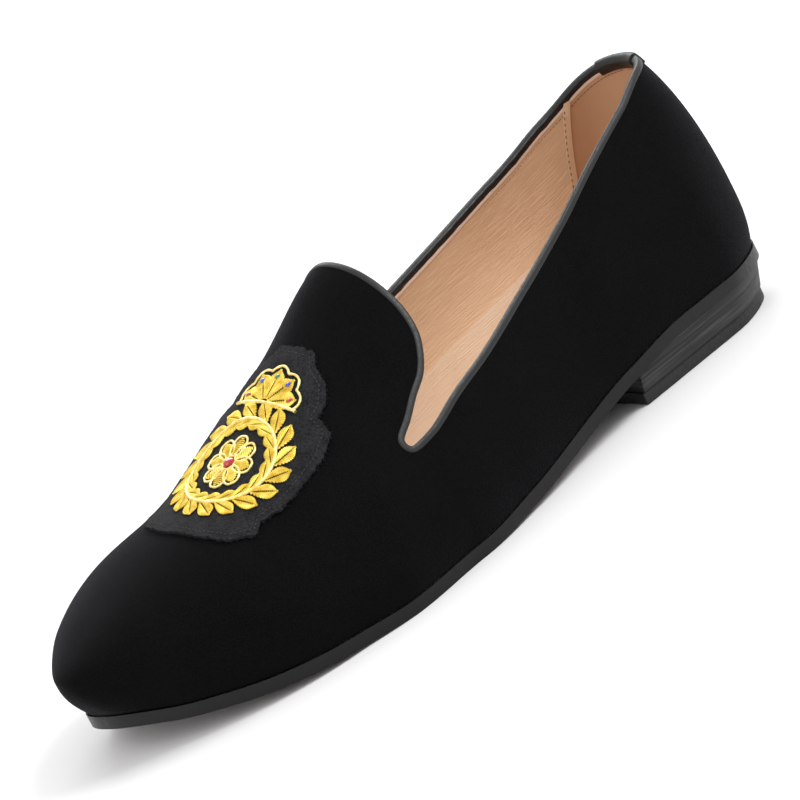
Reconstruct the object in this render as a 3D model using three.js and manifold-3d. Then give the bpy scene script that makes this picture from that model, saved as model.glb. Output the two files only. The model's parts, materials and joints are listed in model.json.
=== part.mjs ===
// Velvet slipper loafer, left shoe. Millimetres, +Z up, toe towards -Y, outer side towards +X.
// The origin is on the floor, under the middle of the shoe's box.

import * as THREE from 'three';
import { mergeVertices } from 'three/addons/utils/BufferGeometryUtils.js';
import Module from 'manifold-3d';

const wasm = await Module();
wasm.setup();

// Driving dimensions of the last
const shoeLength = 290;
const ballWidth = 102;
const heelWidth = 67;
const sideShift = 0.95;
const heelCapShare = 0.125;
const toeCapShare = 0.2;
const instepRise = 84;
const bulgeRise = 16;
const undercut = 2.2;
const undercutPower = 2.5;

// Driving dimensions of the sole and heel
const heelLift = 13;
const toeSpring = 12;
const soleThickness = 4.2;
const soleMargin = 0.6;
const edgeStepHeight = 1.1;
const edgeStepInset = 0.8;
const heelLength = 84;
const heelBreastHollow = 4;
const breastClear = 1;
const heelTaper = 3.4;
const topPieceThickness = 4;
const topPieceInset = 0.5;
const insoleThickness = 2;

// Driving dimensions of the upper, its binding and its tab
const upperWall = 2;
const quarterRise = 73;
const notchPosition = 0.612;
const notchHeight = 35.6;
const notchRadius = 2.3;
const notchStart = 0.62;
const notchSweep = 0.9;
const tongueReach = 30.1;
const bindingOutside = 1.4;
const bindingInside = 2.5;
const bindingThickness = 0.9;
const edgeRise = 0.8;
const tabWidth = 20;
const tabOutside = 4;
const tabInside = 3.5;
const tabThickness = 1;

// Driving dimensions of the patch and its embroidery
const patchCentreX = 8;
const patchPosition = 0.717;
const patchLength = 67;
const patchWidth = 53;
const patchThickness = 1;
const emblemThickness = 1.4;
const wreathLength = 39;
const wreathWidth = 41;
const wreathBand = 9;
const wreathLeaves = 18;
const leafDepth = 1.8;
const wreathForward = 6;
const flowerRadius = 9;
const petalCount = 8;
const petalDepth = 2;
const fanRadius = 12.5;
const fanLobes = 5;
const lobeDepth = 1.5;

// Clearances
const seatGap = 0.3;
const bindingGap = 0.3;
const insoleGap = 0.9;

// Cutting forms: how far they reach, how far they run past the shoe, where the vamp layers start
const reach = 200;
const overrun = 50;
const vampFloor = 28;

// Fineness of the outlines and surfaces
const upperTurns = 24;
const lowerTurns = 8;
const bandSteps = 48;
const bandMargin = 20;
const planMiddle = 28;
const planEnds = 8;
const notchSteps = 7;
const breastSteps = 6;
const leafPoints = 4;
const petalPoints = 6;
const halvings = 30;
const weldDistance = 1e-5;
const slopeStep = 1e-3;
const leastDepth = 1e-6;
const openingSteps = 56;
const middleStations = 22;
const endStations = 7;
const fineSteps = 1200;
const longestRun = 11;
const shortestRun = 0.9;
const sharpestTurn = 0.19;
const endShare = 0.0005;
const tabRuns = 12;
const straightness = 1e-3;
const closeness = 0.06;
const foldShare = 0.02;

// Last in plan, from the heel (at 0) to the toe (at 1).
// ball: how far the width follows the ball and not the heel. outer, inner: half widths as shares
// of that width. shift: of the middle line, as a share of the ball width.
const planRows = [
  { at: 0.00, ball: 0.00, outer: 0.490, inner: 0.490, shift: 0.000 },
  { at: 0.06, ball: 0.00, outer: 0.475, inner: 0.490, shift: 0.000 },
  { at: 0.12, ball: 0.00, outer: 0.500, inner: 0.500, shift: 0.000 },
  { at: 0.20, ball: 0.00, outer: 0.515, inner: 0.500, shift: 0.000 },
  { at: 0.30, ball: 0.00, outer: 0.530, inner: 0.478, shift: 0.000 },
  { at: 0.40, ball: 0.35, outer: 0.480, inner: 0.404, shift: 0.000 },
  { at: 0.50, ball: 0.70, outer: 0.483, inner: 0.393, shift: 0.000 },
  { at: 0.60, ball: 1.00, outer: 0.480, inner: 0.431, shift: 0.000 },
  { at: 0.70, ball: 1.00, outer: 0.505, inner: 0.495, shift: 0.000 },
  { at: 0.78, ball: 1.00, outer: 0.466, inner: 0.510, shift: -0.01 },
  { at: 0.86, ball: 1.00, outer: 0.441, inner: 0.490, shift: -0.04 },
  { at: 0.93, ball: 1.00, outer: 0.382, inner: 0.420, shift: -0.06 },
  { at: 1.00, ball: 1.00, outer: 0.314, inner: 0.314, shift: -0.07 },
];

// Last from the side. bulge: height of the widest line as a share of bulgeRise. crown: of
// instepRise. Both are above the sole. seat: of heelLift. spring: of toeSpring.
// round: the power of the section's arch.
const sideRows = [
  { at: 0.00, bulge: 1.10, crown: 1.155, seat: 1.00, spring: 0.00, round: 2.20 },
  { at: 0.06, bulge: 1.03, crown: 1.100, seat: 1.00, spring: 0.00, round: 2.10 },
  { at: 0.12, bulge: 0.94, crown: 1.000, seat: 1.00, spring: 0.00, round: 2.00 },
  { at: 0.20, bulge: 0.88, crown: 0.980, seat: 1.00, spring: 0.00, round: 2.00 },
  { at: 0.30, bulge: 0.90, crown: 0.990, seat: 0.77, spring: 0.00, round: 2.00 },
  { at: 0.40, bulge: 1.00, crown: 1.020, seat: 0.40, spring: 0.00, round: 2.00 },
  { at: 0.50, bulge: 1.03, crown: 1.000, seat: 0.13, spring: 0.00, round: 1.90 },
  { at: 0.60, bulge: 0.94, crown: 0.851, seat: 0.00, spring: 0.00, round: 1.85 },
  { at: 0.70, bulge: 0.85, crown: 0.696, seat: 0.00, spring: 0.00, round: 1.90 },
  { at: 0.78, bulge: 0.90, crown: 0.583, seat: 0.00, spring: 0.07, round: 2.00 },
  { at: 0.86, bulge: 1.00, crown: 0.518, seat: 0.00, spring: 0.25, round: 2.10 },
  { at: 0.93, bulge: 0.98, crown: 0.430, seat: 0.00, spring: 0.55, round: 2.20 },
  { at: 1.00, bulge: 0.78, crown: 0.315, seat: 0.00, spring: 1.00, round: 2.20 },
];

// Topline of the quarters, from behind the notch to the back of the heel, above the sole.
// along: share of the way from the notch to the heel. outer, inner: heights as shares of quarterRise.
const topline = [
  { along: 0.045, outer: 0.500, inner: 0.500 },
  { along: 0.13, outer: 0.544, inner: 0.554 },
  { along: 0.23, outer: 0.569, inner: 0.639 },
  { along: 0.34, outer: 0.600, inner: 0.706 },
  { along: 0.44, outer: 0.630, inner: 0.717 },
  { along: 0.54, outer: 0.680, inner: 0.722 },
  { along: 0.63, outer: 0.740, inner: 0.735 },
  { along: 0.72, outer: 0.812, inner: 0.775 },
  { along: 0.79, outer: 0.868, inner: 0.822 },
  { along: 0.86, outer: 0.930, inner: 0.868 },
  { along: 0.94, outer: 0.962, inner: 0.962 },
  { along: 1.00, outer: 1.000, inner: 1.000 },
  { along: 1.10, outer: 1.010, inner: 1.010 },
];

// Edge of the tongue seen from the side, from the notch up.
// back: share of tongueReach behind the notch. rise: share of the height from notch to crown.
const tongueEdge = [
  { back: 0.14, rise: 0.145 },
  { back: 0.36, rise: 0.23 },
  { back: 0.60, rise: 0.31 },
  { back: 0.76, rise: 0.40 },
  { back: 0.88, rise: 0.50 },
  { back: 0.96, rise: 0.64 },
  { back: 0.99, rise: 0.78 },
  { back: 1.00, rise: 0.90 },
  { back: 1.00, rise: 1.00 },
];

// Outline of the patch, its right half from the back to the front.
// out: share of half the patch width. along: share of half the patch length, back positive.
const patchOutline = [
  { out: 0.26, along: 1.00 },
  { out: 0.34, along: 0.90 },
  { out: 0.57, along: 0.79 },
  { out: 0.69, along: 0.62 },
  { out: 0.70, along: 0.48 },
  { out: 0.91, along: 0.42 },
  { out: 1.00, along: 0.17 },
  { out: 0.99, along: -0.06 },
  { out: 0.94, along: -0.34 },
  { out: 0.84, along: -0.62 },
  { out: 0.90, along: -0.74 },
  { out: 0.70, along: -0.92 },
  { out: 0.30, along: -1.00 },
];

// Smooth value of one column, with no overshoot between the rows
function column(rows, place, name, at) {
  const last = rows.length - 1;
  const value = (i) => rows[i][name];
  const slopeAfter = (i) => (value(i + 1) - value(i)) / (rows[i + 1][place] - rows[i][place]);
  const tangent = (i) => {
    if (i === 0 || i === last) return 0;
    const before = slopeAfter(i - 1);
    const after = slopeAfter(i);
    return before * after <= 0 ? 0 : (2 * before * after) / (before + after);
  };
  if (at <= rows[0][place]) return value(0);
  if (at >= rows[last][place]) return value(last);
  let i = 0;
  while (rows[i + 1][place] < at) i += 1;
  const span = rows[i + 1][place] - rows[i][place];
  const t = (at - rows[i][place]) / span;
  const t2 = t * t;
  const t3 = t2 * t;
  return (2 * t3 - 3 * t2 + 1) * value(i) + (t3 - 2 * t2 + t) * span * tangent(i)
    + (3 * t2 - 2 * t3) * value(i + 1) + (t3 - t2) * span * tangent(i + 1);
}

const plan = (name, at) => column(planRows, 'at', name, at);
const profile = (name, at) => column(sideRows, 'at', name, at);
const lengthwise = (at) => shoeLength * (0.5 - at);
const shareAt = (y) => 0.5 - y / shoeLength;

// Underside and upper face of the sole along the shoe
const soleUnderside = (at) => heelLift * profile('seat', at) + toeSpring * profile('spring', at);
const soleTop = (at) => soleUnderside(at) + soleThickness;

// How far the round ends of the last have closed in, from 1 along the shoe to 0 at either end
function closing(at) {
  const heel = Math.max(0, (heelCapShare - at) / heelCapShare);
  const toe = Math.max(0, (at - 1 + toeCapShare) / toeCapShare);
  return Math.sqrt(Math.max(0, 1 - Math.max(heel, toe) ** 2));
}

// Sizes of one section of the last, made larger all round by grow
function sectionSizes(at, grow) {
  const width = heelWidth + (ballWidth - heelWidth) * plan('ball', at);
  const close = closing(at);
  const widest = soleTop(at) + bulgeRise * profile('bulge', at);
  return {
    middle: ballWidth * plan('shift', at),
    outer: (width * plan('outer', at) + grow) * close,
    inner: (width * plan('inner', at) + grow) * close,
    widest,
    above: (soleTop(at) + instepRise * profile('crown', at) - widest + grow) * close,
    below: (bulgeRise * profile('bulge', at) * undercut + grow) * close,
    round: profile('round', at),
  };
}

// Point of the last at a turn round the section: 0 outer side, a quarter turn crown, half inner side
function lastPoint(at, turn, grow) {
  const size = sectionSizes(at, grow);
  const across = Math.cos(turn);
  const up = Math.sin(turn);
  const power = 2 / (up >= 0 ? size.round : undercutPower);
  const half = across >= 0 ? size.outer : size.inner;
  const x = size.middle + Math.sign(across) * half * Math.abs(across) ** power;
  const z = size.widest + (up >= 0 ? size.above : -size.below) * Math.abs(up) ** power;
  return new THREE.Vector3(x, (0.5 - at) * (shoeLength + 2 * grow), z);
}

// Half width of the last where it meets the sole, 0 past its ends
function footprint(at, side, grow) {
  const size = sectionSizes(at, grow);
  const drop = (size.widest - soleTop(at)) / Math.max(size.below, leastDepth);
  if (drop >= 1) return 0;
  return (side > 0 ? size.outer : size.inner) * (1 - drop ** undercutPower) ** (1 / undercutPower);
}

// Stations along the last, closer together in its round ends
function stationsBetween(start, end, middleCount, endCount) {
  const list = [];
  for (let i = 0; i <= endCount; i += 1) {
    list.push(start + (heelCapShare - start) * (1 - Math.cos((Math.PI / 2) * (i / endCount))));
  }
  const toeStart = 1 - toeCapShare;
  for (let i = 1; i < middleCount; i += 1) {
    list.push(heelCapShare + (toeStart - heelCapShare) * (i / middleCount));
  }
  for (let i = 0; i <= endCount; i += 1) {
    list.push(toeStart + (end - toeStart) * Math.sin((Math.PI / 2) * (i / endCount)));
  }
  return list;
}

// Turns round a section: fine over the top, coarse underneath
const turns = [];
for (let i = 0; i < upperTurns; i += 1) turns.push((Math.PI * i) / upperTurns);
for (let i = 0; i < lowerTurns; i += 1) turns.push(Math.PI * (1 + i / lowerTurns));

// Closed solids from geometry, and back
function solidOf(geometry) {
  geometry.deleteAttribute('normal');
  geometry.deleteAttribute('uv');
  const merged = mergeVertices(geometry, weldDistance);
  return new wasm.Manifold(new wasm.Mesh({
    numProp: 3,
    vertProperties: new Float32Array(merged.attributes.position.array),
    triVerts: new Uint32Array(merged.index.array),
  }));
}

function meshOf(name, solid, material) {
  const result = solid.translate([sideShift, 0, 0]).getMesh();
  const geometry = new THREE.BufferGeometry();
  geometry.setAttribute('position', new THREE.BufferAttribute(result.vertProperties, 3));
  geometry.setIndex(new THREE.BufferAttribute(result.triVerts, 1));
  geometry.computeVertexNormals();
  const mesh = new THREE.Mesh(geometry, material);
  mesh.name = name;
  return mesh;
}

// The whole last as a closed form, larger all round by grow
function lastForm(grow) {
  const stations = stationsBetween(0, 1, middleStations, endStations).slice(1, -1);
  const positions = [];
  stations.forEach((at) => turns.forEach((turn) => positions.push(...lastPoint(at, turn, grow))));
  const heelPole = positions.length / 3;
  positions.push(...lastPoint(0, 0, grow));
  positions.push(...lastPoint(1, 0, grow));
  const count = turns.length;
  const faces = [];
  for (let i = 0; i + 1 < stations.length; i += 1) {
    for (let j = 0; j < count; j += 1) {
      const a = i * count + j;
      const b = i * count + ((j + 1) % count);
      faces.push(a, b, a + count, b, b + count, a + count);
    }
  }
  const lastRing = (stations.length - 1) * count;
  for (let j = 0; j < count; j += 1) {
    const next = (j + 1) % count;
    faces.push(heelPole, next, j);
    faces.push(heelPole + 1, lastRing + j, lastRing + next);
  }
  const geometry = new THREE.BufferGeometry();
  geometry.setAttribute('position', new THREE.Float32BufferAttribute(positions, 3));
  geometry.setIndex(faces);
  return solidOf(geometry);
}

// Outline without points that nearly coincide or lie on a straight run
function corners(points) {
  const spaced = points.filter((point, i) => i === 0 || point.distanceTo(points[i - 1]) > closeness);
  const count = spaced.length;
  return spaced.filter((point, i) => {
    const toNext = spaced[(i + 1) % count].clone().sub(point);
    const fromBefore = point.clone().sub(spaced[(i + count - 1) % count]);
    return Math.abs(fromBefore.cross(toNext)) > straightness;
  });
}

// Prism along X from an outline in Y and Z
function sidePrism(points, fromX, toX) {
  const shape = new THREE.Shape(corners(points));
  const geometry = new THREE.ExtrudeGeometry(shape, { depth: toX - fromX, bevelEnabled: false });
  geometry.translate(0, 0, fromX);
  geometry.applyMatrix4(new THREE.Matrix4().set(0, 0, 1, 0, 1, 0, 0, 0, 0, 1, 0, 0, 0, 0, 0, 1));
  return solidOf(geometry);
}

// Prism along Z from an outline in X and Y
function planPrism(points, fromZ, toZ) {
  const shape = new THREE.Shape(corners(points));
  const geometry = new THREE.ExtrudeGeometry(shape, { depth: toZ - fromZ, bevelEnabled: false });
  geometry.translate(0, 0, fromZ);
  return solidOf(geometry);
}

// Layer that follows the sole's side view, between two heights given at each place
function soleBand(lower, upper) {
  const points = [];
  const place = (i) => (shoeLength + 2 * bandMargin) * (i / bandSteps - 0.5);
  for (let i = 0; i <= bandSteps; i += 1) {
    points.push(new THREE.Vector2(place(i), lower(shareAt(place(i)))));
  }
  for (let i = bandSteps; i >= 0; i -= 1) {
    points.push(new THREE.Vector2(place(i), upper(shareAt(place(i)))));
  }
  return sidePrism(points, -reach, reach);
}

// Plan outline where the last meets the sole, from grow inwards or outwards
function planOutline(grow) {
  const ends = [0, 1].map((end) => {
    let inside = end === 0 ? heelCapShare : 1 - toeCapShare;
    let outside = end;
    for (let i = 0; i < halvings; i += 1) {
      const trial = (inside + outside) / 2;
      if (footprint(trial, 1, grow) > 0) inside = trial;
      else outside = trial;
    }
    return inside;
  });
  const stations = stationsBetween(ends[0], ends[1], planMiddle, planEnds);
  const edge = (at, side) => new THREE.Vector2(
    ballWidth * plan('shift', at) + side * footprint(at, side, grow),
    (0.5 - at) * (shoeLength + 2 * grow),
  );
  const outerSide = stations.map((at) => edge(at, 1));
  const innerSide = stations.slice(1, -1).reverse().map((at) => edge(at, -1));
  return outerSide.concat(innerSide).reverse();
}

// Outline moved inwards all round by a distance
function insetOutline(points, distance) {
  const count = points.length;
  return points.map((point, i) => {
    const before = points[(i + count - 1) % count];
    const after = points[(i + 1) % count];
    const direction = after.clone().sub(before).normalize();
    return new THREE.Vector2(point.x - direction.y * distance, point.y + direction.x * distance);
  });
}

// Open line in Y and Z moved sideways, positive to the left of its direction. Points that would
// fold back where the line turns tighter than the move are left out.
function shiftLine(points, distance) {
  const moved = points.map((point, i) => {
    const before = points[Math.max(i - 1, 0)];
    const after = points[Math.min(i + 1, points.length - 1)];
    const direction = after.clone().sub(before).normalize();
    return new THREE.Vector2(point.x - direction.y * distance, point.y + direction.x * distance);
  });
  const clear = Math.abs(distance) * (1 - foldShare);
  return moved.filter((point) => points.every((other) => point.distanceTo(other) >= clear));
}

// Edge of the opening in side view: down the tongue, round the notch and back along the quarter
function openingLine(side, steps) {
  const notchY = lengthwise(notchPosition);
  const notchZ = soleTop(notchPosition) + notchHeight;
  const tongueY = notchY + tongueReach;
  const crownZ = soleTop(shareAt(tongueY)) + instepRise * profile('crown', shareAt(tongueY));
  const tongue = tongueEdge.map((row) => new THREE.Vector2(
    notchY + tongueReach * row.back,
    notchZ + (crownZ - notchZ) * row.rise,
  )).reverse();
  const backLength = lengthwise(0) - notchY;
  const quarter = topline.map((row) => {
    const y = notchY + backLength * row.along;
    return new THREE.Vector2(y, soleTop(shareAt(y)) + quarterRise * row[side]);
  });
  const round = [];
  for (let i = 1; i < notchSteps; i += 1) {
    const angle = Math.PI * (notchStart + notchSweep * (i / notchSteps));
    round.push(new THREE.Vector2(
      notchY + notchRadius * Math.cos(angle),
      notchZ + notchRadius + notchRadius * Math.sin(angle),
    ));
  }
  const above = new THREE.Vector2(tongueY, crownZ + overrun);
  return new THREE.CatmullRomCurve3(
    [above, ...tongue, ...round, ...quarter].map((p) => new THREE.Vector3(p.x, p.y, 0)),
    false,
    'centripetal',
  ).getPoints(steps).map((p) => new THREE.Vector2(p.x, p.y));
}

// Opening of the shoe as a solid to cut away, wider by grow all round
function openingForm(grow) {
  const half = (side, fromX, toX) => {
    const line = shiftLine(openingLine(side, openingSteps), -grow);
    const end = line[line.length - 1];
    const outline = [
      ...line,
      new THREE.Vector2(end.x + overrun, end.y),
      new THREE.Vector2(end.x + overrun, reach),
      new THREE.Vector2(line[0].x, reach),
    ];
    return sidePrism(outline, fromX, toX);
  };
  return half('outer', 0, reach).add(half('inner', -reach, 0));
}

// Turn round the section at which a point of the last lies
function turnOf(at, x, z) {
  const size = sectionSizes(at, 0);
  const side = x >= size.middle ? size.outer : size.inner;
  const across = Math.min(1, Math.abs(x - size.middle) / side) ** (size.round / 2);
  const up = Math.max(0, Math.min(1, (z - size.widest) / size.above)) ** (size.round / 2);
  return Math.atan2(up, Math.sign(x - size.middle) * across);
}

// Direction straight out of the last at a point
function outward(at, turn) {
  const along = lastPoint(at + slopeStep, turn, 0).sub(lastPoint(at - slopeStep, turn, 0));
  const round = lastPoint(at, turn + slopeStep, 0).sub(lastPoint(at, turn - slopeStep, 0));
  return round.cross(along).normalize();
}

// Edge of the opening on one side of the last, from the tongue's middle to the heel's
function openingEdge(side) {
  const sign = side === 'outer' ? 1 : -1;
  const edge = [];
  openingLine(side, fineSteps).forEach((p) => {
    const at = shareAt(p.x);
    const size = sectionSizes(at, 0);
    const up = (p.y - size.widest) / size.above;
    if (at <= 0 || !(up < 1)) return;
    const half = sign > 0 ? size.outer : size.inner;
    const across = half * (1 - up ** size.round) ** (1 / size.round);
    edge.push(new THREE.Vector3(size.middle + sign * across, p.x, p.y));
  });
  return edge;
}

// The whole edge as a loop, with points only where it turns or has run on for a while
function openingLoop() {
  const whole = [...openingEdge('outer'), ...openingEdge('inner').reverse()];
  const kept = [whole[0]];
  let heading = whole[1].clone().sub(whole[0]).normalize();
  for (let i = 1; i + 1 < whole.length; i += 1) {
    const next = whole[i + 1].clone().sub(whole[i]);
    const run = whole[i].distanceTo(kept[kept.length - 1]);
    const turned = heading.angleTo(next);
    if (run > longestRun || (turned > sharpestTurn && run > shortestRun)) {
      kept.push(whole[i]);
      heading = next.normalize();
    }
  }
  return kept;
}

// Frame at each point of a run along the edge: out of the wall, and down away from the opening
function edgeFrames(points, closed) {
  const count = points.length;
  return points.map((point, i) => {
    const before = points[closed ? (i + count - 1) % count : Math.max(i - 1, 0)];
    const after = points[closed ? (i + 1) % count : Math.min(i + 1, count - 1)];
    const along = after.clone().sub(before).normalize();
    const at = Math.min(1 - endShare, Math.max(endShare, shareAt(point.y)));
    const out = outward(at, turnOf(at, point.x, point.z));
    const down = along.clone().cross(out).normalize();
    return { point, out: down.clone().cross(along).normalize(), down };
  });
}

// Leather folded over the edge: a section carried along the edge, less the wall and its clearance.
// Only the strip itself is kept, not the slivers that the wall cuts off.
// lift: off the faces of the wall. opening: the opening as the strip has to leave it free.
// crest: from the wall's edge to the top. outside, inside: how far it reaches down either face.
function foldedStrip(points, closed, { lift, thickness, opening, crest, outside, inside }) {
  const over = lift + thickness;
  const ease = thickness + (crest - over) / 2;
  const fold = [
    [over, outside], [over, ease - crest], [over - ease, -crest], [ease - upperWall - over, -crest],
    [-upperWall - over, ease - crest], [-upperWall - over, inside],
  ].map(([out, down]) => new THREE.Vector2(out, down));
  const frames = edgeFrames(points, closed);
  const positions = [];
  frames.forEach(({ point, out, down }) => fold.forEach((corner) => {
    const place = point.clone().addScaledVector(out, corner.x).addScaledVector(down, corner.y);
    positions.push(place.x, place.y, place.z);
  }));
  const size = fold.length;
  const faces = [];
  const runs = closed ? frames.length : frames.length - 1;
  for (let i = 0; i < runs; i += 1) {
    const here = i * size;
    const there = ((i + 1) % frames.length) * size;
    for (let j = 0; j < size; j += 1) {
      const next = (j + 1) % size;
      faces.push(here + j, there + j, here + next, there + j, there + next, here + next);
    }
  }
  if (!closed) {
    const last = (frames.length - 1) * size;
    THREE.ShapeUtils.triangulateShape(fold, []).forEach(([a, b, c]) => {
      faces.push(a, c, b);
      faces.push(last + a, last + b, last + c);
    });
  }
  const geometry = new THREE.BufferGeometry();
  geometry.setAttribute('position', new THREE.Float32BufferAttribute(positions, 3));
  geometry.setIndex(faces);
  const room = lastForm(lift).subtract(lastForm(-upperWall - lift)).subtract(opening);
  const pieces = solidOf(geometry).subtract(room).decompose();
  return pieces.reduce((kept, piece) => (piece.volume() > kept.volume() ? piece : kept));
}

// Layer lying on the vamp between two heights above it, within an outline in plan
function vampLayer(outline, lift, thickness) {
  return lastForm(lift + thickness).subtract(lastForm(lift)).intersect(planPrism(outline, vampFloor, reach));
}

// Closed outline round a centre from a radius given at each turn
function turnedOutline(centre, count, radiusX, radiusY, start, sweep) {
  const points = [];
  for (let i = 0; i < count; i += 1) {
    const angle = start + (sweep * i) / count;
    points.push(new THREE.Vector2(
      centre.x + radiusX(angle) * Math.cos(angle),
      centre.y + radiusY(angle) * Math.sin(angle),
    ));
  }
  return points;
}

// Finishes
const velvet = new THREE.MeshStandardMaterial({ color: 0x121214, roughness: 0.95, metalness: 0 });
const bindingLeather = new THREE.MeshStandardMaterial({ color: 0x202224, roughness: 0.45, metalness: 0 });
const liningLeather = new THREE.MeshStandardMaterial({ color: 0xc9a17c, roughness: 0.6, metalness: 0 });
const soleLeather = new THREE.MeshStandardMaterial({ color: 0x3c2723, roughness: 0.2, metalness: 0 });
const heelLeather = new THREE.MeshStandardMaterial({ color: 0x2b2b2c, roughness: 0.5, metalness: 0 });
const heelRubber = new THREE.MeshStandardMaterial({ color: 0x1b1b1b, roughness: 0.7, metalness: 0 });
const felt = new THREE.MeshStandardMaterial({ color: 0x232325, roughness: 1, metalness: 0 });
const goldThread = new THREE.MeshStandardMaterial({ color: 0xd9ab3a, roughness: 0.4, metalness: 0.7 });

const shoe = new THREE.Group();

// Upper: one hollow shell, open at the collar and underneath
const outside = lastForm(0);
const inside = lastForm(-upperWall);
const underSole = soleBand(() => -overrun, (at) => soleTop(at) + seatGap);
const shell = outside.subtract(inside).subtract(underSole);
shoe.add(meshOf('upper', shell.subtract(openingForm(0)), velvet));

// Outsole: the last's outline with a small step round its lower edge
const soleOutline = planOutline(soleMargin);
const soleBody = planPrism(soleOutline, -reach, reach)
  .intersect(soleBand((at) => soleUnderside(at) + edgeStepHeight, soleTop));
const soleFoot = planPrism(insetOutline(soleOutline, edgeStepInset), -reach, reach)
  .intersect(soleBand(soleUnderside, (at) => soleUnderside(at) + edgeStepHeight + seatGap));
shoe.add(meshOf('outsole', soleBody.add(soleFoot), soleLeather));

// Insole: inside the upper, on the sole
const insoleOutline = planOutline(-upperWall - insoleGap);
const insole = planPrism(insoleOutline, -reach, reach)
  .intersect(soleBand((at) => soleTop(at) + seatGap, (at) => soleTop(at) + seatGap + insoleThickness));
shoe.add(meshOf('insole', insole, liningLeather));

// Heel outline under the seat, with a hollow breast, drawn in by inset
function heelOutline(inset) {
  const breastY = lengthwise(0) - heelLength + inset;
  const sides = insetOutline(soleOutline, edgeStepInset + inset).filter((p) => p.y > breastY + breastClear);
  const start = sides.findIndex((p, i) => {
    const next = sides[(i + 1) % sides.length];
    return p.distanceTo(next) > heelWidth / 2;
  });
  const ordered = start < 0 ? sides : sides.slice(start + 1).concat(sides.slice(0, start + 1));
  const from = ordered[ordered.length - 1];
  const to = ordered[0];
  const breast = [];
  for (let i = 0; i <= breastSteps; i += 1) {
    const t = i / breastSteps;
    breast.push(new THREE.Vector2(
      from.x + (to.x - from.x) * t,
      breastY + heelBreastHollow * Math.sin(Math.PI * t),
    ));
  }
  return ordered.concat(breast);
}

// Block between two outlines of as many points, at two heights
function taperedBlock(lower, upper, lowerZ, upperZ) {
  const count = lower.length;
  const positions = [];
  lower.forEach((p) => positions.push(p.x, p.y, lowerZ));
  upper.forEach((p) => positions.push(p.x, p.y, upperZ));
  const faces = [];
  for (let i = 0; i < count; i += 1) {
    const next = (i + 1) % count;
    faces.push(i, next, i + count, next, next + count, i + count);
  }
  THREE.ShapeUtils.triangulateShape(lower, []).forEach(([a, b, c]) => {
    faces.push(a, c, b);
    faces.push(a + count, b + count, c + count);
  });
  const geometry = new THREE.BufferGeometry();
  geometry.setAttribute('position', new THREE.Float32BufferAttribute(positions, 3));
  geometry.setIndex(faces);
  return solidOf(geometry);
}

// Heel: a stack that tapers down to the lift on the floor
const heelTop = heelOutline(0);
const heelFoot = heelTop.map((p) => {
  const front = lengthwise(0) - heelLength;
  const narrowed = p.x * (1 - heelTaper / heelWidth);
  return new THREE.Vector2(narrowed, front + (p.y - front) * (1 - heelTaper / heelLength));
});
const stackFloor = topPieceThickness + seatGap;
const stack = taperedBlock(heelFoot, heelTop, stackFloor, heelLift + soleThickness)
  .intersect(soleBand(() => -overrun, (at) => soleUnderside(at) - seatGap));
shoe.add(meshOf('heel_stack', stack, heelLeather));
const liftOutline = heelFoot.map((p) => new THREE.Vector2(
  p.x * (1 - (2 * topPieceInset) / heelWidth),
  p.y - topPieceInset,
));
shoe.add(meshOf('heel_top_piece', taperedBlock(liftOutline, liftOutline, 0, topPieceThickness), heelRubber));

// Binding round the whole opening, and the tab folded over it at the back
const edgeLoop = openingLoop();
const bindingCrest = bindingGap + bindingThickness + edgeRise;
const binding = foldedStrip(edgeLoop, true, {
  lift: bindingGap,
  thickness: bindingThickness,
  opening: openingForm(-bindingGap),
  crest: bindingCrest,
  outside: bindingOutside,
  inside: bindingInside,
});
shoe.add(meshOf('topline_binding', binding, bindingLeather));
const backEdge = [...openingEdge('outer'), ...openingEdge('inner').reverse()]
  .filter((p) => p.y > lengthwise(heelCapShare) && Math.abs(p.x) <= tabWidth / 2);
const tabEdge = backEdge.filter((p, i) => i % Math.ceil(backEdge.length / tabRuns) === 0);
const tab = foldedStrip(tabEdge, false, {
  lift: bindingGap + bindingThickness + seatGap,
  thickness: tabThickness,
  opening: openingForm(0).translate([0, 0, bindingCrest + seatGap]),
  crest: bindingCrest + seatGap + tabThickness,
  outside: tabOutside,
  inside: tabInside,
}).subtract(binding);
shoe.add(meshOf('back_tab', tab, bindingLeather));

// Patch on the vamp
const patchCentre = new THREE.Vector2(patchCentreX, lengthwise(patchPosition));
const patchPoint = (row, side) => new THREE.Vector2(
  patchCentre.x + (side * row.out * patchWidth) / 2,
  patchCentre.y + (row.along * patchLength) / 2,
);
const patchEdge = patchOutline.map((row) => patchPoint(row, 1))
  .concat(patchOutline.map((row) => patchPoint(row, -1)).reverse());
shoe.add(meshOf('badge_patch', vampLayer(patchEdge, seatGap, patchThickness), felt));

// Embroidery on the patch: a closed wreath, a flower inside it and a fan behind it
const emblemLift = 2 * seatGap + patchThickness;
const wreathCentre = new THREE.Vector2(patchCentre.x, patchCentre.y - wreathForward);
const leafEdge = (angle) => leafDepth * Math.abs(Math.sin((angle * wreathLeaves) / 2));
const wreathOuter = turnedOutline(
  wreathCentre,
  wreathLeaves * leafPoints,
  (angle) => wreathWidth / 2 - leafDepth + leafEdge(angle),
  (angle) => wreathLength / 2 - leafDepth + leafEdge(angle),
  0,
  2 * Math.PI,
);
const wreathInner = turnedOutline(
  wreathCentre,
  (wreathLeaves * leafPoints) / 2,
  () => wreathWidth / 2 - wreathBand,
  () => wreathLength / 2 - wreathBand,
  0,
  2 * Math.PI,
);
const wreath = vampLayer(wreathOuter, emblemLift, emblemThickness)
  .subtract(planPrism(wreathInner, vampFloor, reach));
shoe.add(meshOf('badge_wreath', wreath, goldThread));

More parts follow.
